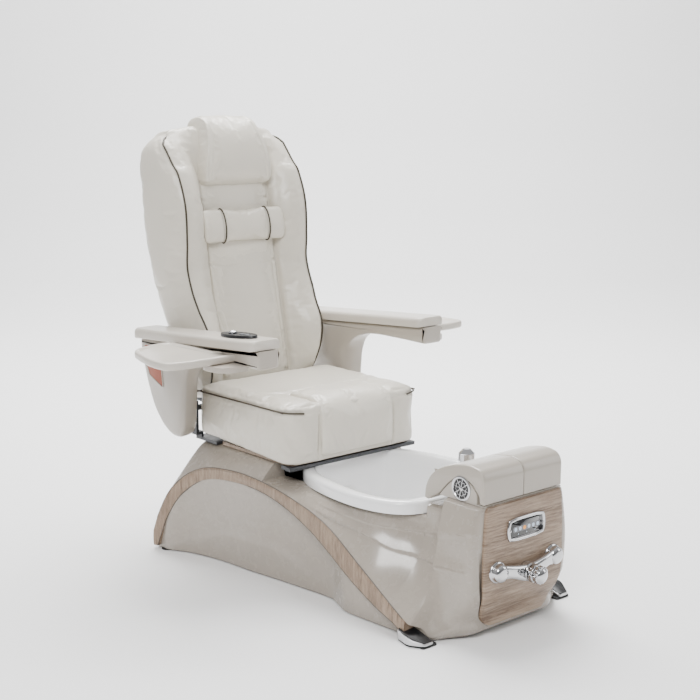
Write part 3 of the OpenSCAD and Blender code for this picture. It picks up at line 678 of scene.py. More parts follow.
def box_ring(x, y0, y1, r, z, n=12):
    """A rectangle with round corners, symmetrical across the chair, as a ring at the height z."""
    ring = []
    for cx, cy, a0 in ((x - r, y1 - r, 0), (-x + r, y1 - r, 90), (-x + r, y0 + r, 180), (x - r, y0 + r, 270)):
        for i in range(n + 1):
            a = math.radians(a0 + 90 * i / n)
            ring.append(at(cx + r * math.cos(a), cy + r * math.sin(a), z))
    return ring


RIM_X = [[-386, 0], [-384, 60], [-377, 140], [-352, 207], [-276, 250], [-157, 265], [19, 243], [104, 208], [150, 176],
         [172, 130], [181, 60], [182, 0]]


def rim_ring(k, z, n=15):
    """The rim's outline, widest ahead of its middle, drawn in by k, at the height z."""
    side = []
    for i, (y, x) in enumerate(RIM_X[:-1]):
        last = RIM_X[i + 1]
        side += [Vector((lerp(x, last[1], j / 4), lerp(y, last[0], j / 4))) for j in range(4)]
    side.append(Vector((RIM_X[-1][1], RIM_X[-1][0])))
    line = side + [Vector((-p.x, p.y)) for p in reversed(side[1:-1])]
    for _ in range(6):
        line = [(line[i - 1] + line[i] * 2 + line[(i + 1) % len(line)]) / 4 for i in range(len(line))]
    return [at(p.x, p.y, z) for p in inset(line, k)]


def build_basin():
    steps = [(0, 314.6), (0, 337), (1.6, 343.5), (5, 348.4), (10, 351), (16, 352), (32, 351.2), (36, 349.6), (38.5, 345), (40, 339)]
    rings = [rim_ring(k, z) for k, z in steps]
    for i in range(14):
        a = math.pi / 2 * i / 13
        rings.append(rim_ring(43 + 10 * math.sin(a * 0.5) + 62 * (1 - math.cos(a)), lerp(330, 139, math.sin(a))))
    rings += [rim_ring(150, 138.4), rim_ring(172, 138)]
    return loft("basin_bowl", rings, caps=False, angle=50)


dressed(build_basin(), "base", "basin_acrylic", ACRYLIC, "basin")

# ---------------------------------------------------------------- wooden front and arches


def front_half(z):
    return smooth(z, [[36, 118], [60, 138], [110, 156], [250, 162], [386, 154]])


def build_front():
    rings = []
    for z in spread(36, 386, 36):
        h = front_half(z)
        end = min(z - 36, 386 - z)
        cut = 6 - math.sqrt(36 - (6 - end) ** 2) if end < 6 else 0
        y = recede(z)
        xs = [-h + cut, -h + 0.6 + cut, -h + 3 + cut] + spread(-h + 12, h - 12, 9) + [h - 3 - cut, h - 0.6 - cut, h - cut]
        outer = [-611.5, -616, -619] + [-620 for _ in range(9)] + [-619, -616, -611.5]
        ring = [at(x, o + y, z) for x, o in zip(xs, outer)]
        rings.append(ring + [at(h - cut, y - 610, z), at(-h + cut, y - 610, z)])
    return loft("wood_front", rings, angle=40)


dressed(build_front(), "base", "oak_laminate", OAK_FRONT, "front_panel")


def build_arch():
    rings, lengths = [], []
    ys = spread(-461, 652, 110)
    gone, last = 0.0, None
    for y in ys:
        hi = smooth(y, ARCH_HI) - 1.5
        lo = min(max(7, smooth(max(y, -455), ARCH_LO)), hi - 6)
        x, x_in = smooth(y, ARCH_X), smooth(y, FOOT_X) + 1.5
        mid = Vector((y, (hi + lo) / 2))
        gone += (mid - last).length if last else 0
        last = mid
        lengths.append(gone)
        e = 3.0
        lift = 1.6
        ring = [(x_in, hi), (x - e, hi), (x - 0.8, hi - 0.8), (x, hi - e)]
        ring += [(x + lift * math.sin(math.pi * t), lerp(hi - e, lo + e, t)) for t in (0.2, 0.4, 0.6, 0.8)]
        ring += [(x, lo + e), (x - 0.8, lo + 0.8), (x - e, lo), (x_in, lo)]
        rings.append([at(px, y, pz) for px, pz in ring])
    obj = loft("wood_arch_right", rings, angle=45)
    uv = obj.data.uv_layers.new(name="UVMap")
    co = points_of(obj)
    ys_np = np.array([(y - 130) * MM for y in ys])
    run = np.interp(co[:, 1], ys_np, np.array(lengths) * MM)
    for loop in obj.data.loops:
        i = loop.vertex_index
        uv.data[loop.index].uv = (run[i], co[i, 2] + co[i, 0])
    return obj


arch_right = build_arch()
arch_left = copy_mirrored(arch_right, "wood_arch_left")
dressed(arch_right, "base", "oak_laminate", OAK_BAND, "arch_trim_right")
dressed(arch_left, "base", "oak_laminate", OAK_BAND, "arch_trim_left")
# Dark lines along the top and bottom edges of each arch: painted shade where the wood meets the shell and the recessed
# panel.
for side, name in ((1, "right"), (-1, "left")):
    lines = []
    for k, knots in enumerate((ARCH_HI, ARCH_LO)):
        pts = []
        for y in spread(-450, 640, 90):
            hi = smooth(y, ARCH_HI) - 1.5
            z = hi + 0.6 if k == 0 else min(max(7, smooth(y, ARCH_LO)), hi - 6) - 0.4
            pts.append(at(side * (smooth(y, ARCH_X) - 1.6), y, z))
        lines.append(tube(f"line_{k}", pts, 1.5, around=6))
    dressed(joined(f"arch_shade_lines_{name}", lines), "base", None, SHADE_AND_SEAM)

# ---------------------------------------------------------------- feet


def pair(build, name, body, slot, material, *stands_for):
    """A piece on each side of the chair, as one object."""
    right = build()
    both = joined(name, [right, copy_mirrored(right, name + "_twin")])
    return dressed(both, body, slot, material, *stands_for)


def shoe_part(name, outline, low, high, grow, edge):
    """A wedge that follows the shell's bottom edge: outline is its plan and low and high its heights front and rear."""
    plan = inset(rounded(outline, [10, 8, 14, 8, 10], 4), -grow)
    rings = []
    for k in (0, 1):
        ring = []
        for p in plan:
            t = ease((p.y + 530) / 70)
            ring.append(at(p.x, p.y, lerp(lerp(low[0], low[1], t), lerp(high[0], high[1], t), k)))
        rings.append(ring)
    return bevelled(loft(name, rings), edge, 3)


SHOE = [(262, -533), (300, -533), (326, -492), (314, -436), (266, -448)]
pair(lambda: shoe_part("shoe", SHOE, (5, 5), (13, 33), 0, 2.5), "foot_shoes_metal", "base", "brushed", BRUSHED, "foot_shoes")
pair(lambda: shoe_part("cap", SHOE, (13.3, 33.3), (15.5, 36), -3, 0.8), "foot_shoe_tops", "base", None, BLACK)
pair(lambda: shoe_part("sole", SHOE, (0.6, 0.6), (4.8, 4.8), -2, 0.8), "foot_shoe_soles", "base", None, RUBBER)

# ---------------------------------------------------------------- footrest


def bar_profile():
    """Side outline of the padded footrest bar, from the column's front over to the nose."""
    return rounded([(-611, 393), (-611, 466), (-598, 487), (-560, 496), (-505, 489), (-446, 469), (-405, 440), (-385, 404),
                    (-382, 366), (-396, 364), (-440, 391), (-458, 411), (-488, 441), (-525, 457), (-562, 447), (-593, 414), (-593, 393)],
                   [5, 14, 16, 30, 40, 50, 40, 20, 7, 7, 20, 16, 20, 30, 20, 8, 5], 6)


def build_rest():
    outline = bar_profile()
    rings = []
    for x, k in ((1.2, 2.2), (1.6, 1.0), (2.6, 0.2), (6, 0), (80, 0), (150, 0), (155, 0.2), (157.6, 0.9), (159.3, 2.2), (160, 4)):
        rings.append([at(x, *p) for p in inset(outline, k)])
    return loft("rest", rings, angle=45)


right = build_rest()
left = copy_mirrored(right, "footrest_pad_left")
right.name = "footrest_pad_right"
dressed(right, "footrest_right", "trim_plastic", TRIM, "footrest_right")
dressed(left, "footrest_left", "trim_plastic", TRIM, "footrest_left")

core = extruded("footrest_core", rounded(
    [(-609, 388.4), (-609, 391.4), (-584, 391.4), (-584, 419), (-561, 444), (-525, 454.6), (-490, 439.2), (-460, 409), (-442, 389)],
    [1, 1, 1, 6, 20, 30, 20, 16, 2]), -159.4, 159.4, "yz", 1.2)
dressed(core, "base", "shell_plastic", TRIM, "footrest_base")

for side, name in ((1, "right"), (-1, "left")):
    axis = Vector((side, 0, 0))
    centre = at(side * 150, -526, 424)
    ring = turned("ring", [(28, 9), (28, 11.6), (29, 12.6), (33.5, 12.6), (35.4, 11.8), (36, 10), (36, 9)], centre, axis, 56)
    back = turned("back", [(0, 9.6), (30, 9.9)], centre, axis, 40)
    spokes = []
    for i in range(8):
        a = math.pi * i / 4 + 0.2
        u = Vector((0, math.cos(a), math.sin(a)))
        spokes.append(tube("spoke", [centre + axis * 0.0105 + u * 0.006, centre + axis * 0.0105 + u * 0.029], 1.5, around=6))
        v = Vector((0, math.cos(a + 0.39), math.sin(a + 0.39)))
        w = Vector((0, math.cos(a + 0.79), math.sin(a + 0.79)))
        spokes.append(tube("arc", [centre + axis * 0.0105 + u * 0.017, centre + axis * 0.0105 + v * 0.0215,
                                   centre + axis * 0.0105 + w * 0.017], 1.3, around=6))
    hub = turned("hub", [(7, 9), (7, 11.4), (5, 12.6), (0, 12.9)], centre, axis, 24)
    dressed(joined(f"grille_{name}", [ring, hub, *spokes]), "base", "chrome", CHROME)
    dressed(back, "base", None, BLACK)
    back.name = f"grille_back_{name}"
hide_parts("footrest_caps")

# ---------------------------------------------------------------- seat


def padded_block(name, outlines, top_r, bottom_r, n=6):
    """A soft block whose outline runs between heights: [(z, outline)], rounded over at top and bottom."""
    (z0, low), (z1, high) = outlines[0], outlines[-1]
    rings = []
    for i in range(n + 1):
        a = math.pi / 2 * i / n
        rings.append([at(p.x, p.y, z0 + bottom_r * (1 - math.cos(a))) for p in inset(low, bottom_r * (1 - math.sin(a)))])
    for z, outline in outlines[1:-1]:
        rings.append([at(p.x, p.y, z) for p in outline])
    for i in range(n + 1):
        a = math.pi / 2 * i / n
        rings.append([at(p.x, p.y, z1 - top_r * (1 - math.sin(a))) for p in inset(high, top_r * (1 - math.cos(a)))])
    return loft(name, rings)


def seat_outline(grow=0.0):
    return rounded([(-270 - grow, 92 - grow), (270 + grow, 92 - grow), (270 + grow, 574), (-270 - grow, 574)], [58, 58, 24, 24], 8)


PIPE_SIDE = [[90, 538], [110, 538], [164, 537], [232, 542], [301, 549], [358, 551], [409, 548], [484, 539], [574, 532]]


def pipe_z(p):
    """Height of the welt: it dips towards the middle of the front and swells along the sides."""
    side = smooth(p.y / MM + 130, PIPE_SIDE)
    front = lerp(521, 537, ease((abs(p.x) / MM - 130) / 130))
    return lerp(front, side, ease((p.y / MM + 130 - 92) / 50))


def seat_line(z=None, grow=0.0):
    """The welt that runs round the seat, or a level line at the height z."""
    pts = [at(p.x, p.y, 0) for p in seat_outline(grow)]
    for p in pts:
        p.z = (pipe_z(p) if z is None else z) * MM
    return pts + [pts[0]]


def seat_bottom(y):
    """Height of the skirt's lower edge, which rises to the rear."""
    return smooth(y, [[90, 371], [273, 380], [492, 384], [574, 400]])


seat = padded_block("seat_cushion_cover", [(372, seat_outline()), (400, seat_outline()), (528, seat_outline()), (555, seat_outline())], 26, 8)
co = points_of(seat)
low_part = np.clip((440 - co[:, 2] * 1000) / 68, 0, 1)
co[:, 2] += low_part * np.array([(seat_bottom(y * 1000 + 130) - 372) * MM for y in co[:, 1]])
set_points(seat, co)
stuffed(seat, 6, [seat_line(), seat_line(388)], pressure=3.2, cap=9, growth=0.018,
        held=lambda co: (co[:, 2] < 0.386) | (np.abs(co[:, 0]) < 0.151) & (co[:, 1] < 0.115) & (co[:, 2] > 0.40))
grooved(seat, seat_line(None), 9, 2.4, lip=0.5)
for side in (-1, 1):
    for i in range(7):
        y = 566 - i * i * 3.2
        grooved(seat, [at(side * 270, y, 425 + 14 * i), at(side * 271, y - 18 - 5 * i, 470 + 7 * i), at(side * 270, y - 26 - 12 * i, 524)], 6, 1.5)
    grooved(seat, [at(side * 153, 92, 380), at(side * 152, 91, 470), at(side * 151, 94, 520), at(side * 150, 112, 552), at(side * 150, 240, 556)], 8, 4)
dressed(seat, "seat", "ivory_leather", LEATHER, "seat_cushion")
pipe = [p for p in seat_line(None, 2.6) if not (abs(p.x) < 0.150 and p.y < -0.02)]
cut = next(i for i, p in enumerate(pipe) if (pipe[i - 1] - p).length > 0.2 and p.y < 0 and pipe[i - 1].y < 0)
pipe = pipe[cut:] + pipe[:cut]
dressed(tube("seat_piping", along(pipe, 0.006), 3.0), "seat", None, PIPING)

# front pad that runs over the edge of the seat


def pad_profile(out):
    """Side line of the front pad, out millimetres above the seat."""
    path = [(250, 556), (200, 558), (150, 558), (118, 553), (98, 540), (88, 518), (85, 480), (84, 440), (85, 405), (90, 390)]
    pts = along([Vector((y, z, 0)) for y, z in path], 6)
    line = []
    for i, p in enumerate(pts):
        t = (pts[min(i + 1, len(pts) - 1)] - pts[max(i - 1, 0)]).normalized()
        line.append((p.x + t.y * out, p.y - t.x * out))
    return line


def build_front_pad():
    rings = []
    inner, outer = pad_profile(-8), pad_profile(6)
    crown = pad_profile(8)
    for i, (a, b, c) in enumerate(zip(inner, outer, crown)):
        ring = []
        for x, mix in ((-148, 0), (-148, 0.5), (-144, 0.9), (-136, 1.05)):
            ring.append(at(x, lerp(a[0], b[0], mix), lerp(a[1], b[1], mix)))
        ring += [at(x, c[0], c[1]) for x in spread(-110, 110, 7)]
        for x, mix in ((136, 1.05), (144, 0.9), (148, 0.5), (148, 0)):
            ring.append(at(x, lerp(a[0], b[0], mix), lerp(a[1], b[1], mix)))
        rings.append(ring)
    return loft("seat_front_cover", rings)


front_pad = build_front_pad()
lo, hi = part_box("seat_front_pad")
stuffed(front_pad, 5, [[at(s * 146, *p) for p in pad_profile(0)] for s in (-1, 1)], pressure=2.5, cap=8, growth=0.02,
        held=lambda co: co[:, 2] < 0.398)
dressed(front_pad, "seat", "ivory_panel", PANEL, "seat_front_pad")

# ---------------------------------------------------------------- backrest

BACK_HALF = [[20, 214], [150, 240], [300, 256], [450, 268], [600, 274], [800, 276], [870, 266], [905, 240], [930, 196]]
BACK_DEEP = [[20, 132], [290, 168], [450, 190], [640, 194], [880, 160], [930, 130]]
EDGE_DEEP = [[50, -10], [94, -48], [164, -84], [234, -92], [326, -60], [453, -35], [540, -53], [660, -70], [770, -51],
             [805, -28], [888, 20], [930, 54]]


def back_half(w):
    return smooth(w, BACK_HALF)


def edge_half(w):
    return min(250, back_half(w) - 12)


def edge_deep(w):
    return smooth(w, EDGE_DEEP)


def back_section(w, k=0.0, lift=0.0):
    """Section of the backrest at the height w, drawn in by k and raised by lift."""
    h, e, d, deep = back_half(w), edge_half(w), edge_deep(w), smooth(w, BACK_DEEP)
    fall = min(d + 26, -3) if d < -30 else d * 0.1 - 3
    half = [(0, 2), (70, 2), (128, 1), (141, 0), (152, lerp(0, d, 0.22) - 4), (170, lerp(0, d, 0.52) - 8), (195, lerp(0, d, 0.8) - 10),
            (222, d - 8), (e - 8, d - 4), (e, d), (lerp(e, h, 0.5), d + 10), (h - 2, d + 34), (h, 70), (h, deep - 46),
            (h - 5, deep - 24), (h - 16, deep - 9), (h - 40, deep - 2), (h * 0.45, deep), (0, deep)]
    out = []
    for x, dd in half:
        scale = max(h - k, 20) / h
        out.append((x * scale, dd + k * (0.6 if dd < 40 else -1) * (1 if k else 0)))
    ring = [leaned(x, dd, w + lift) for x, dd in out]
    return ring + [leaned(-x, dd, w + lift) for x, dd in reversed(out[1:-1])]


def build_back():
    rings = []
    for k, w in ((26, 30), (12, 32), (3, 38)):
        rings.append(back_section(max(w, 50), k, w - max(w, 50)))
    rings += [back_section(w) for w in spread(52, 918, 60)]
    for i in range(1, 6):
        a = math.pi / 2 * i / 5
        rings.append(back_section(918, 20 * (1 - math.cos(a)), 16 * math.sin(a)))
    return loft("back_cover", rings)


def edge_line(side, w0=52, w1=930, grow=0.0):
    return [leaned(side * (edge_half(w) + grow), edge_deep(w) - grow, w) for w in spread(w0, w1, 80)]


def across(w, half=245, d0=0.0):
    """A seam across the backrest at the height w."""
    pts = []
    for x in spread(-half, half, 40):
        d = d0 if abs(x) < 141 else lerp(0, edge_deep(w) - 8, ease((abs(x) - 141) / 80))
        pts.append(leaned(x, d, w - 6 * (1 - (x / half) ** 2)))
    return pts


back = build_back()
panel_seams = [[leaned(s * 141, 0, w) for w in spread(60, 735, 60)] for s in (-1, 1)]
stuffed(back, 7, panel_seams + [edge_line(1), edge_line(-1)], pressure=2.2, cap=14, growth=0.012, finer=1)
for line in panel_seams:
    grooved(back, line, 16, 9)
for side in (-1, 1):
    grooved(back, [leaned(side * (back_half(w) + 2), edge_deep(w) * 0.25 + 92, w) for w in spread(60, 880, 50)], 5, 2)
dressed(back, "backrest", "ivory_leather", LEATHER, "back_cushion", "back_shell")

pipes = []
for side in (-1, 1):
    pts = edge_line(side, 52, 900, 1.5)
    for t in spread(0.12, 1, 8):
        a = math.pi / 2 * t
        x = lerp(edge_half(900), 118, t)
        pts.append(leaned(side * x, lerp(edge_deep(900), 58, t), 900 + 38 * math.sin(a)))
    pipes.append(tube("pipe", along(pts, 0.006), 3.2))
dressed(joined("back_piping", pipes), "backrest", None, PIPING)

# quilted centre panel

QUILT_TOP, QUILT_LOW = 470, 96


def quilt_lines():
    """Stitching of the lower centre panel: long lozenges above, short pleats below."""
    rows = [
        ((-128, 470), (-96, 250), (-72, 110)), ((-78, 470), (-70, 300), (-60, 100)), ((-78, 470), (-26, 330), (-8, 262)),
        ((-10, 470), (-14, 400), (-8, 262), (4, 110)), ((-10, 470), (44, 330), (60, 262)), ((58, 470), (56, 400), (60, 262), (78, 110)),
        ((58, 470), (100, 330), (126, 230)), ((118, 470), (122, 330), (128, 160)), ((-128, 300), (-100, 200), (-90, 104)),
    ]
    lines = [[leaned(x, -3, w) for x, w in row] for row in rows]
    for i in range(11):
        x = -105 + 21 * i
        lines.append([leaned(x, -3, 96), leaned(x + 3, -3, 176 + 16 * math.sin(i * 2.1))])
    return [along(line, 0.006) for line in lines]


def build_panel():
    rings = []
    outline = rounded([(-139, 82), (139, 82), (139, 733), (-139, 733)], 8, 4)
    for d, k in ((24, 6), (18, 1), (4, 0), (0, 1), (-3, 4), (-5, 12), (-6, 26)):
        rings.append([leaned(p.x, d, p.y) for p in inset(outline, k)])
    return loft("back_panel_cover", rings)


panel = build_panel()
quilts = quilt_lines()
seams = [across(QUILT_TOP, 139, -4), across(688, 139, -4)]
stuffed(panel, 5, seams + quilts, pressure=3.0, cap=9, growth=0.02,
        held=lambda co: (np.abs(co[:, 0]) > 0.136))
for line in quilts:
    grooved(panel, laid(panel, line), 8, 3.6, lip=0.4)
for line in seams:
    grooved(panel, laid(panel, line), 8, 5)
threads = [tube("stitch", laid(panel, line), 0.9, around=6) for line in quilts]
dressed(joined("panel_stitches", threads), "backrest", None, THREAD)
dressed(panel, "backrest", "ivory_panel", PANEL, "back_panel")

# headrest


def head_half(w):
    return smooth(w, [[735, 139], [790, 136], [850, 124], [927, 108], [975, 102]])


def build_headrest():
    """The headrest is a folded-over cushion: its side outline is swept across."""
    side = rounded([(10, 738), (-36, 738), (-52, 760), (-60, 800), (-62, 850), (-54, 900), (-36, 945), (-4, 969), (44, 975),
                    (78, 966), (88, 934), (60, 880), (34, 800)], [10, 16, 18, 30, 30, 30, 30, 24, 24, 24, 24, 20, 20], 4)
    rings = []
    for u, k in ((-1.0, 16), (-0.985, 8), (-0.95, 2.5), (-0.9, 0), (-0.5, -1), (0, -1.5), (0.5, -1), (0.9, 0), (0.95, 2.5), (0.985, 8), (1.0, 16)):
        rings.append([leaned(u * head_half(p.y), p.x, p.y) for p in inset(side, k)])
    return loft("headrest_cover", rings)


head = build_headrest()
welts = [[leaned(s * (head_half(w) - 9), d, w) for d, w in ((-44, 742), (-60, 800), (-63, 850), (-55, 900), (-36, 945), (0, 970), (46, 976))] for s in (-1, 1)]
stuffed(head, 5, welts, pressure=2.5, cap=8, growth=0.015)
for line in welts:
    grooved(head, along(line, 0.006), 6, 2.4, lip=0.6)
dressed(head, "backrest", "ivory_leather", LEATHER, "headrest")

# neck pillow


def build_pillow():
    rings = []
    oval = [(-13 - 21 + 21 * math.cos(a) * 1.02, 593 + 56 * math.sin(a)) for a in (2 * math.pi * i / 40 for i in range(40))]
    oval = [(d if d < -34 else lerp(-34, -14, (d + 34) / 21), w) for d, w in oval]
    for x, k in ((-165, 16), (-163, 8), (-157, 2.5), (-148, 0), (-60, 0), (60, 0), (148, 0), (157, 2.5), (163, 8), (165, 16)):
        rings.append([leaned(x, lerp(-34, d, 1 - k / 30), 593 + (w - 593) * (1 - k / 56)) for d, w in oval])
    return loft("neck_pillow_cover", rings)


pillow = build_pillow()
rings = []
for x in (-92, 92):
    loop = [leaned(x, -34 + 24 * math.cos(a), 593 + 57.5 * math.sin(a)) for a in (2 * math.pi * i / 60 for i in range(60))]
    rings.append(loop)
stuffed(pillow, 4.5, rings, pressure=4.0, cap=7, growth=0.02)
for loop in rings:
    grooved(pillow, loop + [loop[0]], 7, 2.0)
dressed(pillow, "neck_pillow", "ivory_leather", LEATHER, "neck_pillow")
bands = []
co = points_of(pillow)
for loop in rings:
    x = loop[0].x
    pts = []
    for i in range(48):
        a = 2 * math.pi * i / 48
        u = Vector((0, math.cos(a), math.sin(a)))
        pts.append(LEAN @ Vector((x, -0.034 + u.y * 0.027, 0.593 + u.z * 0.058)))
    bands.append(tube("band", pts, 2.6, closed=True, around=8))
dressed(joined("pillow_bands", bands), "neck_pillow", None, PIPING)

# ---------------------------------------------------------------- arms and trays

ARM = [(96, 741), (130, 738.5), (752, 698), (748, 655), (732, 600), (712, 545), (680, 478), (626, 424), (575, 398),
       (520, 400), (504, 440), (497, 520), (490, 602), (470, 650), (438, 672), (390, 683), (330, 688), (200, 686.5), (96, 684)]
ARM_ROUND = [3, 4, 10, 14, 80, 80, 60, 50, 40, 26, 40, 90, 60, 50, 40, 60, 80, 60, 12]


def build_arm():
    """The support: its inner front edge is drawn back in a wide round towards the seat."""
    outline = rounded(ARM, ARM_ROUND, 6)
    rings = []
    for x in spread(300, 380, 25):
        t = (x - 300) / 80
        edge = min(x - 300, 380 - x)
        k = 12 - math.sqrt(max(144 - max(12 - edge, 0) ** 2, 0)) if edge < 12 else 0
        ring = []
        for p in inset(outline, k):
            low = ease((660 - p.y) / 60)
            ahead = ease((640 - p.x) / 120)
            ring.append(at(x, p.x + 54 * (1 - math.sqrt(max(1 - (1 - t) ** 2, 0))) * low * ahead, p.y))
        rings.append(ring)
    return loft("arm", rings, angle=40)


def build_bracket():
    block = extruded("block", rounded([(375, 152), (420, 152), (468, 176), (468, 262), (432, 279), (375, 279)], [1, 16, 34, 30, 14, 1]), 676, 693, "xy", 3)
    boss = turned("boss", [(0, 0), (8, 0), (8, 17), (0, 18)], at(432, 242, 692), Vector((0, 0, 1)), 24)
    return joined("bracket", [block, boss])


def pad_z(y):
    """Height of the underside of the armrest pad."""
    return lerp(741, 699.5, (y - 100) / 652)


def build_pad():
    """The armrest pad: a long block with a rounded nose, thinning to the rear."""
    rings = []
    ys = [103, 106, 111, 118, 128] + list(range(142, 740, 14)) + [744, 752, 758, 762, 765]
    for y in ys:
        near = y - 100
        nose = 26 - math.sqrt(max(26 ** 2 - max(26 - near, 0) ** 2, 0)) if near < 26 else 0
        rear = 14 - math.sqrt(max(14 ** 2 - max(y - 752, 0) ** 2, 0)) if y > 752 else 0
        side = nose * 0.9 + rear
        h = 31 - (nose * 0.28 + rear * 0.9)
        bottom = pad_z(y) + nose * 0.18 + rear
        outline = rounded([(286 + side, bottom), (397 - side, bottom), (397 - side, bottom + h), (286 + side, bottom + h)], [4, 4, 12, 12], 5)
        ring = []
        for p in outline:
            crown = 2.6 * (1 - ((p.x - 341.5) / 60) ** 2) if p.y > bottom + h - 1 else 0
            ring.append(at(p.x, y, p.y + crown))
        rings.append(ring)
    return loft("pad", rings, angle=50)


def build_tray():
    """The side table: a rounded plate with a shallow dished top."""
    outline = rounded([(346, 218), (430, 211), (560, 211), (617, 226), (619, 300), (600, 390), (572, 476), (534, 508), (440, 538),
                       (402, 530), (392, 440), (386, 300), (346, 292)], [14, 60, 60, 34, 60, 80, 60, 40, 20, 16, 60, 20, 14], 8)
    z0, z1 = 694, 718
    steps = [(z0, 8), (z0, 6), (z0 + 1.5, 2.6), (z0 + 4, 0.6), (z0 + 7, 0), (z1 - 7, 0), (z1 - 3.5, 0.8), (z1 - 1.2, 2.8), (z1, 6),
             (z1, 13), (z1 - 1.0, 15.5), (z1 - 4, 19), (z1 - 5, 23)]
    return loft("tray", [[at(p.x, p.y, z) for p in inset(outline, k)] for z, k in steps], angle=45)


for side, name in ((1, "right"), (-1, "left")):
    for build, part, body, replaced in (
        (build_arm, "arm_support", f"arm_{name}", f"arm_{name}"), (build_bracket, "tray_bracket", f"arm_{name}", None),
        (build_pad, "arm_rest", f"arm_{name}", f"arm_pad_{name}"), (build_tray, "side_tray", f"tray_{name}", f"tray_{name}"),
    ):
        piece = build()
        if side < 0:
            twin = copy_mirrored(piece, "twin")
            bpy.data.objects.remove(piece)
            piece = twin
        piece.name = f"{part}_{name}"
        # The pads and trays take the lighter copy of the trim gelcoat, painted light for their lit tops; the supports
        # and brackets take the trim itself.
        dressed(piece, body, "trim_plastic", TRIM_PAINTED_LIGHT if build in (build_pad, build_tray) else TRIM, *([replaced] if replaced else []))
    seam = [at(side * 396.2, y, pad_z(y) - 0.5) for y in spread(118, 735, 60)]
    inner = [at(side * 300.6, y, pad_z(y) - 0.5) for y in spread(118, 735, 60)]
    dressed(joined(f"arm_seam_{name}", [tube("a", inner, 1.2, around=6)]), f"arm_{name}", None, SHADE_AND_SEAM)

PURSE = [(722, 680), (634, 686), (617, 554), (694, 585), (714, 623)]
purse = extruded("purse_insert", rounded(PURSE, 8), -381.4, -372, "yz", 1.2)
dressed(purse, "arm_left", "terracotta", TERRACOTTA, "purse_panel")
frame_line = [at(-380.6, *p) for p in inset(rounded(PURSE, 8), -2.5)]
dressed(tube("purse_frame", frame_line, 2.4, closed=True, around=8), "arm_left", None, TRIM)
hook_y, hook_z = 668, 632
hook = [at(-374, hook_y - 13, hook_z), at(-374, hook_y + 13, hook_z)]
loop = [at(-375.5, hook_y - 11, hook_z), at(-379, hook_y - 11, hook_z - 16), at(-378, hook_y - 9, hook_z - 30), at(-377, hook_y, hook_z - 33),
        at(-378, hook_y + 9, hook_z - 30), at(-379, hook_y + 11, hook_z - 16), at(-375.5, hook_y + 11, hook_z)]
hook_piece = joined("purse_hook_wire", [tube("axle", hook, 2.0), tube("loop", along(loop, 0.002), 1.9)])
dressed(hook_piece, "purse_hook", "chrome", CHROME, "purse_hook")

# control on the left armrest

PAD_TOP = Matrix.Translation(at(-340, 245, 747)) @ Matrix.Rotation(math.radians(-3.6), 4, "X")


def on_pad(x, y, z):
    return PAD_TOP @ Vector((x * MM, y * MM, z * MM))


def lens(k, z):
    return [on_pad((36 - k) * math.cos(a) * (1 - 0.12 * math.sin(a) ** 2), (84 - k) * math.sin(a), z) for a in (2 * math.pi * i / 64 for i in range(64))]


inset_piece = loft("arm_control_inset", [lens(0, 12), lens(0, 24.5), lens(1.5, 26.4), lens(4, 27), lens(6, 26.2), lens(8, 25.2)], angle=50)
dressed(inset_piece, "arm_left", "black_plastic", BLACK, "arm_control")
for key, y in (("raise", -44), ("lower", -16)):
    cap = turned(f"key_{key}_cap", [(8.8, -4), (8.8, 1.2), (8, 2.2), (6, 2.7), (0, 2.4)], on_pad(0, y, 25.4), (on_pad(0, 0, 1) - on_pad(0, 0, 0)).normalized(), 32)
    dressed(cap, f"key_{key}", "key_grey", GREY_KEY, f"key_{key}")
up = (on_pad(0, 0, 1) - on_pad(0, 0, 0)).normalized()
dial = turned("dial_knob", [(4, -8), (4, 0), (13.8, 0.3), (14.2, 1.2), (13.8, 6), (12.6, 7.2), (9, 7.6), (8, 6.8), (0, 6.6)], on_pad(0, 30, 25.4), up, 40)
dressed(dial, "dial", "chrome", CHROME, "control_dial")

# ---------------------------------------------------------------- water fittings and display


def build_mixer():
    """Two union rosettes joined by a waisted body, with the cartridge boss in the middle."""
    rings = []
    for x in spread(-114, 114, 49):
        u = abs(x) / 114
        top = lerp(203, 223, u ** 1.5)
        low = lerp(154, 178, ease(u * 1.25))
        mid, half = (top + low) / 2, (top - low) / 2
        front = lerp(-648, -641, u ** 2)
        ring = []
        for i in range(28):
            a = 2 * math.pi * i / 28
            c, s = math.cos(a), math.sin(a)
            y = lerp(-624, front, 0.5 + 0.5 * math.copysign(abs(c) ** 0.7, c))
            ring.append(at(x, y, mid + half * math.copysign(abs(s) ** 0.75, s)))
        rings.append(ring)
    body = loft("body", rings, angle=60)
    parts = [body]
    axis = Vector((0, -1, 0))
    for s in (-1, 1):
        parts.append(turned("rosette", [(11, -18), (11, 0.2), (31, 0.2), (31, 2), (29.5, 4.6), (26, 5.8), (25.2, 7), (25.2, 16), (24, 22),
                                        (20, 26), (12, 28), (0, 28.6)], at(s * 114, -620.3, 200), axis, 48))
    parts.append(turned("boss", [(27, 0), (27, 22), (25.5, 25), (24.5, 27), (24.5, 29.4), (12.2, 29.6), (12.2, 16)], at(0, -622, 180), axis, 48))
    return joined("mixer_casting", parts)


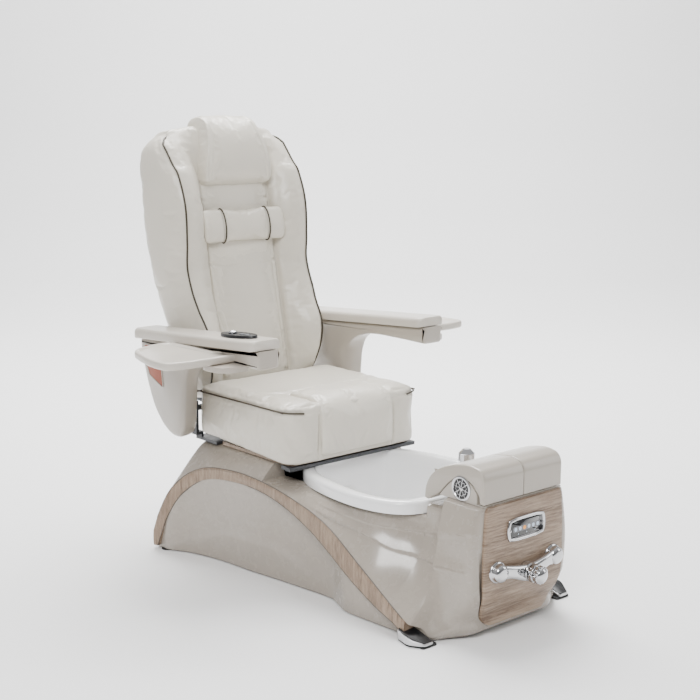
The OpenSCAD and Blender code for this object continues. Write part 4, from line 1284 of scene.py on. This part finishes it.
def ribbed(name, y0, y1, r, ribs, body, *nodes, cap=False):
    """A turning grip with ribs round it, pointing forward."""
    count = ribs * 8
    rings = []
    depth = y1 - y0
    profile = [(0.0, -2.4), (0.06, -0.8), (0.14, 0), (0.86, 0), (0.94, -0.8), (1.0, -2.4)]
    for t, k in profile:
        ring = []
        for i in range(count):
            a = 2 * math.pi * i / count
            wave = 1.5 * max(-0.35, math.cos(ribs * a)) * (1 if 0.1 < t < 0.9 else 0.35)
            ring.append(at((r + k + wave) * math.cos(a), lerp(y1, y0, t), 180 + (r + k + wave) * math.sin(a)))
        rings.append(ring)
    grip = loft("grip", rings, angle=38)
    parts = [grip]
    if cap:
        parts.append(turned("dome", [(21.5, -1), (21.5, 0.8), (19.6, 3.2), (14.6, 6.2), (8, 8.2), (0, 9)], at(0, y0, 180), Vector((0, -1, 0)), 40))
        parts.append(turned("stem", [(12, 0), (12, 30)], at(0, y1 + 28, 180), Vector((0, -1, 0)), 24))
    return dressed(joined(name, parts), body, "chrome", CHROME, *nodes)


dressed(build_mixer(), "base", "chrome", CHROME, "mixer_body")
ribbed("temperature_grip", -669, -653, 25.5, 14, "temperature_control", "temperature_ring")
ribbed("flow_grip", -686, -670.5, 24.5, 14, "flow_control", "flow_knob", cap=True)


def display_outline(k=0.0):
    """The bezel's outline, with gently bowed ends."""
    pts = []
    for s in (1, -1):
        for t in spread(-1, 1, 9):
            pts.append((s * (77.5 - 7 * t * t), 307 + s * t * 30))
        pts.append((s * 40, 307 + s * 34.5))
        pts.append((0, 307 + s * 35))
        pts.append((-s * 40, 307 + s * 34.5))
    return inset([Vector(p) for p in rounded(pts, 6, 3)], k)


def build_bezel():
    steps = [(-620.3, 0), (-624, 0), (-626.6, 1.2), (-627.6, 3.4), (-627.6, 7.2), (-626, 9.2), (-623.5, 10)]
    return loft("bezel", [[at(p.x, y, p.y) for p in display_outline(k)] for y, k in steps], caps=False, angle=50)


screws = [turned("screw", [(3.4, 0), (3.4, 1.0), (2.4, 1.6), (0, 1.4)], at(s * 69, -627.2, 307), Vector((0, -1, 0)), 20) for s in (-1, 1)]
dressed(joined("display_frame", [build_bezel(), *screws]), "base", "chrome", CHROME, "display_bezel")
glass = loft("display_glass", [[at(p.x, y, p.y) for p in display_outline(k)] for y, k in ((-621, 9), (-624.4, 9.4), (-624.8, 10.4))])
dressed(glass, "base", "screen_glass", GLASS, "display_screen")
band = extruded("display_band", rounded([(-55, 299), (55, 299), (55, 315), (-55, 315)], 5), -625.1, -624.6, "xz")
dressed(band, "base", None, GREY_BAND)
icons, warm = [], []
for i in range(6):
    x = -45 + 18 * i
    centre = at(x, -625.1, 307)
    disc = turned("icon", [(5.6, 0), (5.6, 0.25), (4.6, 0.3), (4.4, 0.1), (1.6, 0.1), (1.4, 0.3), (0, 0.3)], centre, Vector((0, -1, 0)), 24)
    (warm if i in (2,) else icons).append(disc)
for i in range(3):
    icons.append(turned("mark", [(1.6, 0), (1.6, 0.2), (0, 0.25)], at(-34 + 34 * i, -625.0, 292.5), Vector((0, -1, 0)), 12))
dressed(joined("display_icons", icons), "base", None, ICON)
dressed(joined("display_icon_warm", warm), "base", None, ICON_WARM)

# ---------------------------------------------------------------- rear of the backrest

cover = []
outline = [(x * 196, 600 + z * 98) for x, z in ((math.cos(a), math.sin(a)) for a in (2 * math.pi * i / 72 for i in range(72)))]
shape = [[leaned(p.x, d, p.y) for p in inset([Vector(q) for q in outline], k)] for d, k in ((192, 0), (197, 0), (203, 8), (208, 22), (211, 44), (212, 70))]
lens_cover = loft("rear_lens", shape, angle=50)
dressed(lens_cover, "backrest", "black_plastic", BLACK, "rear_cover")
slats = []
for i in range(9):
    x = -88 + 22 * i
    slats.append(extruded("slat", rounded([(x - 4, 572), (x + 4, 572), (x + 4, 628), (x - 4, 628)], 3), 210, 213.5, "lean_xw", 0.8))
dressed(joined("rear_lens_slats", slats), "backrest", None, GREY_KEY)

# ---------------------------------------------------------------- carried CAD nodes

FINISH = {
    "shell_plastic": SHELL, "trim_plastic": TRIM, "basin_acrylic": ACRYLIC, "chrome": CHROME, "brushed": BRUSHED,
    "painted_steel": STEEL, "zinc_steel": ZINC, "oak_laminate": OAK_FRONT, "black_rubber": RUBBER, "black_plastic": BLACK,
    "screen_glass": GLASS, "white_plastic": WHITE, "pipe_plastic": PIPE, "pump_body": PUMP, "plywood": PLY,
    "ivory_leather": LEATHER, "ivory_panel": PANEL, "terracotta": TERRACOTTA, "key_grey": GREY_KEY, "roller_plastic": ROLLER,
}
for row in frame["record"]["subparts"]:
    node = NODES[row["node"]]
    node.data.materials.clear()
    node.data.materials.append(FINISH[row["material_slot"]])
    node.data.polygons.foreach_set("use_smooth", [True] * len(node.data.polygons))
    node.data.set_sharp_from_angle(angle=math.radians(35))

# ---------------------------------------------------------------- studio


def area_light(name, spot, target, size, power, colour=(1, 1, 1)):
    data = bpy.data.lights.new(name, "AREA")
    data.shape = "RECTANGLE"
    data.size, data.size_y = size
    data.energy = power
    data.color = colour
    obj = bpy.data.objects.new(name, data)
    obj.location = spot
    obj.rotation_euler = (Vector(target) - Vector(spot)).to_track_quat("-Z", "Y").to_euler()
    bpy.context.scene.collection.objects.link(obj)
    return obj


def sweep():
    """Floor that curves up into a backdrop behind the chair."""
    profile = [(-9, 0), (2, 0), (5.0, 0), (6.2, 0.12), (7.2, 0.6), (7.8, 1.3), (8.0, 2.2), (8.0, 3.8)]
    across, back = Vector((0.758, -0.652, 0)), Vector((0.652, 0.758, 0))
    rings = [[back * d + across * w + Vector((0, 0, z)) for w in (-9, 9)] for d, z in profile]
    return loft("floor", rings, caps=False, wrap=False, angle=60)


floor = sweep()
floor_finish = Nodes("studio_floor")
floor_finish.put("Base Color", (0.95, 0.95, 0.95, 1))
floor_finish.put("Roughness", floor_finish.span(floor_finish.grain(2), 0.7, 0.8))
floor_finish.put("Specular IOR Level", 0.2)
floor.data.materials.append(floor_finish.mat)

world = bpy.data.worlds.new("studio")
world.use_nodes = True
sky = world.node_tree
ramp = sky.nodes.new("ShaderNodeValToRGB")
ramp.color_ramp.elements[0].position, ramp.color_ramp.elements[0].color = 0.12, (0.05, 0.05, 0.05, 1)
ramp.color_ramp.elements[1].position, ramp.color_ramp.elements[1].color = 0.8, (1, 1, 1, 1)
facing = sky.nodes.new("ShaderNodeVectorMath")
facing.operation = "DOT_PRODUCT"
facing.inputs[1].default_value = (0.2, 0.45, 0.87)
lift = sky.nodes.new("ShaderNodeMapRange")
lift.inputs["From Min"].default_value = -1.0
coord = sky.nodes.new("ShaderNodeTexCoord")
sky.links.new(coord.outputs["Generated"], facing.inputs[0])
sky.links.new(facing.outputs["Value"], lift.inputs["Value"])
sky.links.new(lift.outputs[0], ramp.inputs[0])
sky.links.new(ramp.outputs[0], sky.nodes["Background"].inputs[0])
sky.nodes["Background"].inputs[1].default_value = 0.7
bpy.context.scene.world = world
area_light("key", (-3.0, -2.2, 3.4), (0, 0, 0.6), (1.5, 1.5), 150)
area_light("fill", (3.4, -3.0, 1.8), (0, 0, 0.5), (1.6, 2.4), 40)
area_light("top", (0.6, 1.2, 4.2), (0, 0, 0.5), (2.2, 2.2), 250)
area_light("backdrop", (2.0, 2.8, 5.0), (4.0, 5.0, 0.3), (5, 3), 700)

camera = bpy.data.objects.new("camera", bpy.data.cameras.new("camera"))
camera.data.sensor_width = 36
camera.data.lens = 65.98
camera.location = (-2.594, -3.012, 1.427)
camera.rotation_euler = (math.radians(90 - 10.387), 0, math.radians(-40.794))
bpy.context.scene.collection.objects.link(camera)
bpy.context.scene.camera = camera
